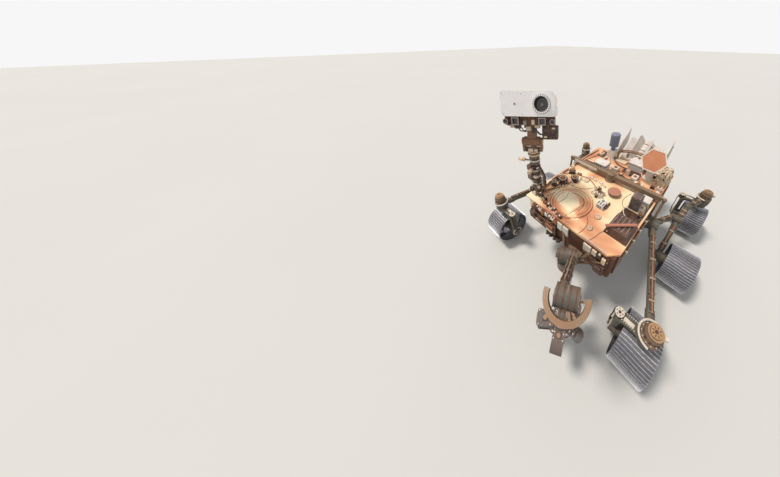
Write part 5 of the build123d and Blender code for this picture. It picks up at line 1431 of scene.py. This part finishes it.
# Differential: the tapered metal bar across the deck, with dark seams along its edges, a white strip on the
# front of its right half, bolt rows and a bolted hub cap. Its links end in ball joints.
bar_metal = finish("bar_metal", shade(0.46, 0.40, 0.32), dust_amount=0.40, roughness=0.5, patch=0.07,
                   dust=shade(0.64, 0.46, 0.33))
dress(bar_metal, "differential_bar", "differential_links")
BAR_Y, BAR_Z = 0.020, 1.178
BAR_TOP = 0.028
trim = bmesh.new()
pale = bmesh.new()
spots = []
hub = stand(0, BAR_Y, BAR_Z)
for side in (-1, 1):
    for y in (-0.0255, 0.0235):
        add_side_box(trim, side, (0.070, y, 0.0275), (0.640, y + 0.002, 0.0290), hub, edge=0.0003)
    spots += row(hub @ Vector((side * 0.110, 0, BAR_TOP)), hub @ Vector((side * 0.630, 0, BAR_TOP)), 14)
    row_start = hub @ Vector((side * 0.110, -0.018, BAR_TOP))
    spots += row(row_start, hub @ Vector((side * 0.250, -0.018, BAR_TOP)), 5)
strip = origin @ Matrix.Translation((-0.400, -0.0085, BAR_Z)) @ Matrix.Rotation(radians(-1.215), 4, "Z")
add_box(pale, (-0.210, -0.0040, -0.020), (0.190, 0.0010, 0.022), strip, edge=0.001)
add_ring(trim, stand(0, BAR_Y, 1.2300), 0.0240, 0.0270, 0.0015, 32)
spots += circle(stand(0, BAR_Y, 1.2180), 0.052, 10)
keep_shape("bar_seams", trim, dark_line, "rover")
keep_shape("bar_strip", pale, pale_paint, "rover")
fasten("bar_bolts", spots, 0.0046, "rover")

# Pump assembly: cream painted metal boxes and tubes with round black ports, bolted down at the left rear
# corner of the deck. Five bent tubes carry the cooling fluid over the deck's edge.
pump_paint = finish("pump_paint", shade(0.92, 0.84, 0.71), dust_amount=0.25, roughness=0.5, patch=0.04)
dress(pump_paint, "pump_assembly")
cream = bmesh.new()
black = bmesh.new()
PUMP_PARTS = (
    # black, x, y, z, size x, size y, size z
    (False, 0.500, 0.360, 1.176, 0.030, 0.050, 0.040),
    (True, 0.540, 0.420, 1.172, 0.036, 0.030, 0.032),
    (False, 0.486, 0.470, 1.140, 0.030, 0.060, 0.078),
    (True, 0.500, 0.540, 1.196, 0.040, 0.044, 0.026),
    (False, 0.560, 0.560, 1.196, 0.036, 0.050, 0.024),
    (True, 0.580, 0.640, 1.194, 0.028, 0.036, 0.022),
    (False, 0.500, 0.640, 1.204, 0.046, 0.050, 0.042),
    (False, 0.440, 0.560, 1.130, 0.044, 0.120, 0.060),
    (True, 0.432, 0.470, 1.120, 0.036, 0.036, 0.040),
    (False, 0.590, 0.440, 1.134, 0.024, 0.060, 0.050),
    (True, 0.598, 0.520, 1.140, 0.012, 0.050, 0.040),
)
for is_black, x, y, z, wide, deep, tall in PUMP_PARTS:
    place = stand(x, y, z)
    box_shape, cap_shape = (black, cream) if is_black else (cream, black)
    end = place @ Matrix.Translation((wide / 2, 0, 0)) @ ALONG_X
    add_block(box_shape, wide, deep, tall, place)
    add_cap(cap_shape, raised(place, tall / 2), min(wide, deep) * 0.30, 0.004, 16)
    add_cap(cap_shape, end, min(tall, deep) * 0.26, 0.003, 16)
for i in range(5):
    y = 0.340 + 0.075 * i
    tube = ((0.470, y, 1.120), (0.455, y + 0.010, 1.160), (0.500, y + 0.020, 1.220),
            (0.560, y + 0.025, 1.226), (0.604, y + 0.030, 1.190), (0.606, y + 0.030, 1.110))
    add_pipe(cream, [at(*point) for point in tube], 0.0060)
for i in range(7):
    add_cap(black, frame_on(at(0.600, 0.350 + 0.050 * i, 1.130), (1, 0, 0)), 0.010, 0.003, 16)
keep_shape("pump_cream_parts", cream, pump_paint, "rover")
keep_shape("pump_black_parts", black, black_paint, "rover")

# Antennas: the high-gain one has a dusty tan face in a white painted rim, bolted to a white post and yoke.
# The helix antenna is a ribbed blue-grey can on its white pedestal.
dish_paint = finish("dish_paint", shade(0.94, 0.91, 0.86), dust_amount=0.20, roughness=0.5, patch=0.06)
dish_face = finish("dish_face", shade(0.82, 0.54, 0.38), dust_amount=0.45, roughness=0.6, patch=0.10,
                   dust=shade(0.70, 0.42, 0.28))
helix_paint = finish("antenna_grey", shade(0.46, 0.49, 0.58), dust_amount=0.12, roughness=0.4)
dress(dish_paint, "dish_panel", "dish_post", "dish_yoke", "antenna_pedestal")
dress(helix_paint, "helix_antenna")
DISH_ACROSS = 0.276
DISH_POST = (0.370, 0.400)
HELIX = (-0.285, 0.540)
RIM_BOLT_REACH = DISH_ACROSS / 2 - 0.006
dish_tilt = stand(*DISH_POST, 1.330) @ Matrix.Rotation(radians(-35), 4, "X")
dish = dish_tilt @ Matrix.Translation((0, -0.104, 0.034)) @ Matrix.Rotation(radians(90), 4, "X")
corner = (DISH_ACROSS / 2 - 0.013) / cos(radians(30))
outline = [(corner * cos(tau * i / 6), corner * sin(tau * i / 6)) for i in range(6)]
face = bmesh.new()
add_plate(face, outline, raised(dish, 0.0163), 0.0032)
keep_shape("dish_face", face, dish_face, "dish_panel")
spots = []
for i in range(6):
    angle = tau * (i + 0.5) / 6
    for slide in (-0.050, 0.000, 0.050):
        x = RIM_BOLT_REACH * cos(angle) - slide * sin(angle)
        y = RIM_BOLT_REACH * sin(angle) + slide * cos(angle)
        spots.append((dish @ Vector((x, y, 0.022)), dish.to_3x3() @ UP))
fasten("dish_bolts", spots, 0.0034, "dish_panel")
helix = stand(*HELIX, 1.250)
shape = bmesh.new()
for i in range(30):
    turn = turned(helix, tau * i / 30)
    add_box(shape, (0.0670, -0.0012, 0.072), (0.0692, 0.0012, 0.246), turn, edge=0.0003)
for z in (0.068, 0.246):
    add_ring(shape, raised(helix, z), 0.0672, 0.0702, 0.006, 48)
keep_shape("helix_ribs", shape, helix_paint, "rover")
spots = []
for dx in (-0.070, 0.070):
    spots += row(at(HELIX[0] + dx, 0.476, 1.112), at(HELIX[0] + dx, 0.604, 1.112), 4)
spots += circle(stand(*DISH_POST, 1.112), 0.057, 10)
fasten("antenna_bolts", spots, 0.0044, "rover")
REAR_TUBE = ((-0.190, 0.560, 1.225), (-0.100, 0.620, 1.250), (0.060, 0.660, 1.250), (0.200, 0.665, 1.246),
             (0.300, 0.650, 1.220))
rear_tubes = bmesh.new()
for lift in (0.0, 0.028):
    add_pipe(rear_tubes, [at(x, y, z + lift) for x, y, z in REAR_TUBE], 0.0100)
for x in (-0.190, -0.060, 0.120, 0.290):
    near, far = (0.600, 0.640) if x > -0.1 else (0.548, 0.576)
    add_box(rear_tubes, (x - 0.012, near, 1.100), (x + 0.012, far, 1.232), origin, edge=0.002)
keep_shape("rear_tubes", rear_tubes, tan_line, "rover")

# Power source: a dusty drum with white painted metal fins on a truss behind the body, between the two white
# heat exchanger plates. Dark bands go round the drum, and bolts hold its end cap and the plates.
PLATE_X = 0.385
fin_paint = finish("fin_paint", shade(0.90, 0.88, 0.85), dust_amount=0.30, roughness=0.55, patch=0.10)
dress(fin_paint, "power_source", "heat_exchangers")
power = stand(0, 1.120, 0.950) @ Matrix.Rotation(radians(35 - 90), 4, "X")
spots = circle(raised(power, 0.310), 0.084, 12)
shape = bmesh.new()
add_ring(shape, raised(power, 0.310), 0.040, 0.062, 0.006, 40)
for z in (-0.200, -0.070, 0.070, 0.200):
    add_ring(shape, raised(power, z), 0.1295, 0.1325, 0.014, 64)
keep_shape("power_bands", shape, leg_paint, "rover")
for side in (-1, 1):
    out = Vector((side, 0, 0))
    spots += row(at(side * PLATE_X, 0.770, 0.715), at(side * PLATE_X, 1.300, 1.086), 9, out)
    spots += row(at(side * PLATE_X, 0.770, 0.930), at(side * PLATE_X, 1.300, 1.301), 9, out)
fasten("power_bolts", spots, 0.0055, "rover")

# Arm: grey-green tubes between bolted drums with dark seals, and harness lines held along the tubes by
# clamps. A beige half shell curves round the elbow.
arm_paint = finish("arm_paint", shade(0.29, 0.30, 0.28), dust_amount=0.38, roughness=0.5, wear=0.7,
                   patch=0.10, dust=shade(0.55, 0.42, 0.32))
turret_paint = finish("turret_paint", shade(0.34, 0.34, 0.34), dust_amount=0.40, roughness=0.5, wear=0.6,
                      patch=0.10, dust=shade(0.52, 0.36, 0.28))
shell_paint = finish("shell_paint", shade(0.60, 0.50, 0.40), dust_amount=0.30, roughness=0.5, patch=0.12)
dress(arm_paint, "arm_shoulder", "upper_arm", "forearm", "wrist")
dress(turret_paint, "turret_hub", "drill", "sample_tool", "brush_tool", "spectrometer", "hand_camera")
ARM_X, ARM_FRONT = 0.200, -1.130
ARM_TURN = radians(28)
arm_pivot = turned(stand(ARM_X, ARM_FRONT, 0), ARM_TURN)
arm = arm_pivot @ Matrix.Translation((-ARM_X, -ARM_FRONT, 0))
SHOULDER, ELBOW, WRIST = (-1.130, 0.925), (-1.618, 1.413), (-1.583, 0.749)
SHOULDER_R, ELBOW_R, WRIST_R = 0.072, 0.066, 0.052
LEFTWARD = arm.to_3x3() @ Vector((1, 0, 0))
DRUMS = (
    # body, face x, side, drum centre (y, z), drum radius
    ("arm_shoulder", 0.104, -1, SHOULDER, 0.046),
    ("upper_arm", 0.312, 1, SHOULDER, SHOULDER_R),
    ("upper_arm", 0.238, -1, ELBOW, ELBOW_R),
    ("forearm", 0.387, 1, ELBOW, ELBOW_R),
    ("forearm", 0.387, 1, WRIST, WRIST_R),
    ("wrist", 0.238, -1, WRIST, WRIST_R),
)
SEALS = (
    # body, middle x, drum centre (y, z), drum radius
    ("arm_shoulder", 0.160, SHOULDER, SHOULDER_R),
    ("upper_arm", 0.275, SHOULDER, SHOULDER_R),
    ("upper_arm", 0.275, ELBOW, ELBOW_R),
    ("forearm", 0.350, ELBOW, ELBOW_R),
    ("forearm", 0.350, WRIST, WRIST_R),
    ("wrist", 0.275, WRIST, WRIST_R),
)
arm_spots = {"arm_shoulder": [], "upper_arm": [], "forearm": [], "wrist": []}
arm_dark = {name: bmesh.new() for name in arm_spots}
arm_pale = {name: bmesh.new() for name in arm_spots}
for body, x, side, (y, z), radius in DRUMS:
    drum_face = frame_on(arm @ Vector((x, y, z)), LEFTWARD * side)
    add_cap(arm_pale[body], drum_face, radius * 0.50, 0.008, 32)
    add_ring(arm_dark[body], drum_face, radius * 0.62, radius * 0.68, 0.003, 40)
    arm_spots[body] += circle(drum_face, radius * 0.84, 12)
    arm_spots[body] += circle(raised(drum_face, 0.008), radius * 0.34, 5)
for body, x, (y, z), radius in SEALS:
    for slide in (-0.024, 0.014):
        seal = frame_on(arm @ Vector((x + slide, y, z)), LEFTWARD)
        add_ring(arm_dark[body], seal, radius - 0.001, radius + 0.0012, 0.008, 48)
LINKS = (
    # body, x, start (y, z), end (y, z), tube radius, lines as (angle about the tube, pipe radius, dark)
    ("upper_arm", 0.275, SHOULDER, ELBOW, 0.037,
     ((60, 0.0050, True), (90, 0.0060, False), (118, 0.0045, True))),
    ("forearm", 0.350, ELBOW, WRIST, 0.033, ((20, 0.0045, True), (60, 0.0055, False), (-20, 0.0040, True))),
)
for body, x, start, end, radius, lines in LINKS:
    tube_from = arm @ Vector((x, *start))
    tube_to = arm @ Vector((x, *end))
    place = along_tube(tube_from, tube_to)
    length = (tube_to - tube_from).length
    for angle, thick, is_dark in lines:
        points = []
        for i in range(9):
            share = 0.16 + 0.68 * i / 8
            spread = radius + 0.002 + thick + 0.003 * (i % 2)
            turn = radians(angle + 3 * (i % 3))
            across = LEFTWARD * cos(turn) + (place.to_3x3() @ UP).cross(LEFTWARD) * sin(turn)
            points.append(place @ Vector((0, 0, length * share)) + across * spread)
        add_pipe(arm_dark[body] if is_dark else arm_pale[body], points, thick)
    for share in (0.24, 0.38, 0.58, 0.72):
        add_ring(arm_pale[body], raised(place, length * share), radius - 0.001, radius + 0.0035, 0.012, 32)
        arm_spots[body] += circle(raised(place, length * share + 0.012), radius + 0.001, 6)
for body in arm_spots:
    keep_shape(body + "_seals", arm_dark[body], dark_line, body)
    keep_shape(body + "_caps", arm_pale[body], shell_paint, body)
    fasten(body + "_bolts", arm_spots[body], 0.0046, body)

SHELL_STEPS = 32
SHELL_FROM, SHELL_SWEEP = 172, 196
SHELL_INNER, SHELL_OUTER = 0.113, 0.150
SHELL_FEET = (
    # turn in degrees, inner reach
    (290, 0.060),
    (306, 0.060),
    (358, 0.074),
)
shape = bmesh.new()
shell = arm @ Matrix.Translation((0.3125, *ELBOW)) @ Matrix.Rotation(radians(18), 4, "X")
rows = []
for i in range(SHELL_STEPS + 1):
    turn = radians(SHELL_FROM + SHELL_SWEEP * i / SHELL_STEPS)
    taper = 0.026 + 0.014 * sin(pi * i / SHELL_STEPS)
    profile = ((SHELL_INNER, -taper), (0.144, -taper + 0.006), (SHELL_OUTER, 0), (0.144, taper - 0.006),
               (SHELL_INNER, taper), (0.112, 0))
    rows.append([shape.verts.new(shell @ polar(radius, turn, depth)) for radius, depth in profile])
for near, far in zip(rows, rows[1:]):
    for j in range(6):
        k = (j + 1) % 6
        shape.faces.new((near[j], near[k], far[k], far[j]))
shape.faces.new(rows[0])
shape.faces.new(rows[-1])
for turn, inner in SHELL_FEET:
    foot = turned(shell, radians(turn))
    add_box(shape, (inner, -0.007, -0.012), (0.116, 0.007, 0.012), foot, edge=0.001)
keep_shape("elbow_shell", shape, shell_paint, "forearm")

# Turret: grey painted metal housings bolted round the hub, each under a dark cover with a beige cap. Beige
# rings mark the drill's end and the sides of the sample tool, and lines loop from tool to tool.
turret = arm @ Matrix.Translation((0.275, WRIST[0], 0))
black = bmesh.new()
beige = bmesh.new()
spots = []
DRILL, BRUSH, SPECTROMETER, SAMPLER, HAND_CAMERA = 191, 340, 50, 270, 120
TOOL_FACES = (
    # heading, reach of the face, half width, low z, high z
    (DRILL, 0.226, 0.062, 0.483, 0.653),
    (BRUSH, 0.150, 0.044, 0.503, 0.623),
    (SPECTROMETER, 0.140, 0.046, 0.513, 0.633),
    (SAMPLER, 0.160, 0.052, 0.493, 0.643),
    (HAND_CAMERA, 0.170, 0.046, 0.503, 0.613),
)
for heading, reach, half, low_z, high_z in TOOL_FACES:
    tool = turned(turret, radians(heading))
    for side in (-1, 1):
        face = tool.to_3x3() @ Vector((0, side, 0))
        for z in (low_z + 0.014, high_z - 0.014):
            start = tool @ Vector((0.100, side * half, z))
            end = tool @ Vector((reach - 0.012, side * half, z))
            spots += row(start, end, 4, face)
    for u in (0.104, reach - 0.014):
        for v in (-half + 0.012, half - 0.012):
            spots.append((tool @ Vector((u, v, high_z)), UP))
    middle = (0.080 + reach) / 2
    add_box(black, (middle - 0.022, -half * 0.46, high_z), (middle + 0.022, half * 0.46, high_z + 0.006),
            tool, edge=0.001)
    add_cap(beige, tool @ Matrix.Translation((middle, 0, high_z + 0.006)), half * 0.34, 0.004, 24)
hub_top = raised(turret, 0.673)
spots += circle(hub_top, 0.070, 16)
spots += circle(raised(turret, 0.497) @ Matrix.Rotation(pi, 4, "X"), 0.040, 8)
add_ring(black, raised(turret, 0.5400), 0.0915, 0.0932, 0.010, 64)
add_ring(black, raised(turret, 0.6100), 0.0915, 0.0932, 0.010, 64)
drill = turned(turret, radians(DRILL))
drill_end = frame_on(drill @ Vector((0.226, 0, 0.590)), drill.to_3x3() @ Vector((1, 0, 0)))
add_ring(beige, drill_end, 0.030, 0.046, 0.010, 40)
add_cap(beige, drill_end, 0.024, 0.006, 32)
spots += circle(raised(drill_end, 0.010), 0.038, 10)
for low_z in (0.500, 0.524, 0.548):
    add_box(black, (0.120, -0.0640, low_z), (0.200, -0.0615, low_z + 0.008), drill, edge=0.0006)
    add_box(black, (0.120, 0.0615, low_z), (0.200, 0.0640, low_z + 0.008), drill, edge=0.0006)
sampler = turned(turret, radians(SAMPLER))
for side in (-1, 1):
    outward = sampler.to_3x3() @ Vector((0, side, 0))
    ring_place = frame_on(sampler @ Vector((0.160, side * 0.036, 0.553)), outward)
    add_ring(beige, ring_place, 0.036, 0.050, 0.006, 40)
    add_cap(black, ring_place, 0.026, 0.008, 28)
    spots += circle(raised(ring_place, 0.006), 0.043, 10)
hand_camera = turned(turret, radians(HAND_CAMERA))
lens_place = frame_on(hand_camera @ Vector((0.1985, 0, 0.547)), hand_camera.to_3x3() @ Vector((1, 0, 0)))
add_ring(black, lens_place, 0.018, 0.0275, 0.010, 32)
TOOL_LINES = (
    # first heading, last heading, rise in the middle
    (DRILL, SAMPLER, 0.030),
    (SAMPLER, BRUSH, 0.024),
    (BRUSH, SPECTROMETER, 0.028),
    (SPECTROMETER, HAND_CAMERA, 0.022),
    (HAND_CAMERA, DRILL, 0.026),
)
for start, end, lift in TOOL_LINES:
    sweep = (end - start) % 360
    points = []
    for i in range(7):
        share = i / 6
        reach = 0.112 + 0.022 * sin(pi * share)
        points.append(turret @ polar(reach, radians(start + sweep * share), 0.616 + lift * sin(pi * share)))
    add_pipe(black, points, 0.0050)
keep_shape("turret_black_parts", black, dark_line, "turret")
keep_shape("turret_beige_parts", beige, shell_paint, "turret")
fasten("turret_bolts", spots, 0.0042, "turret")

# Front hazard cameras: two black housings with twin lenses, bolted low on the front. After them, the small
# parts that stand on deck, front and mast are kept, one mesh for each paint.
dress(black_paint, "front_hazard_cameras")
SMALL_FINISHES = (
    # finish, material, slot
    ("white", pale_paint, "white_paint"),
    ("cream", cream_part, "white_paint"),
    ("bronze", bronze, "drive_paint"),
    ("black", black_paint, "dark_metal"),
)
# the black mesh also holds the thin dark sheets painted as shade among the deck parts
for kind, material, slot in SMALL_FINISHES:
    keep_shape("small_" + kind + "_parts", SMALL_PARTS[kind], material, "rover")

# Sizes: the box round the dressed model, the floor left out.
low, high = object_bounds()
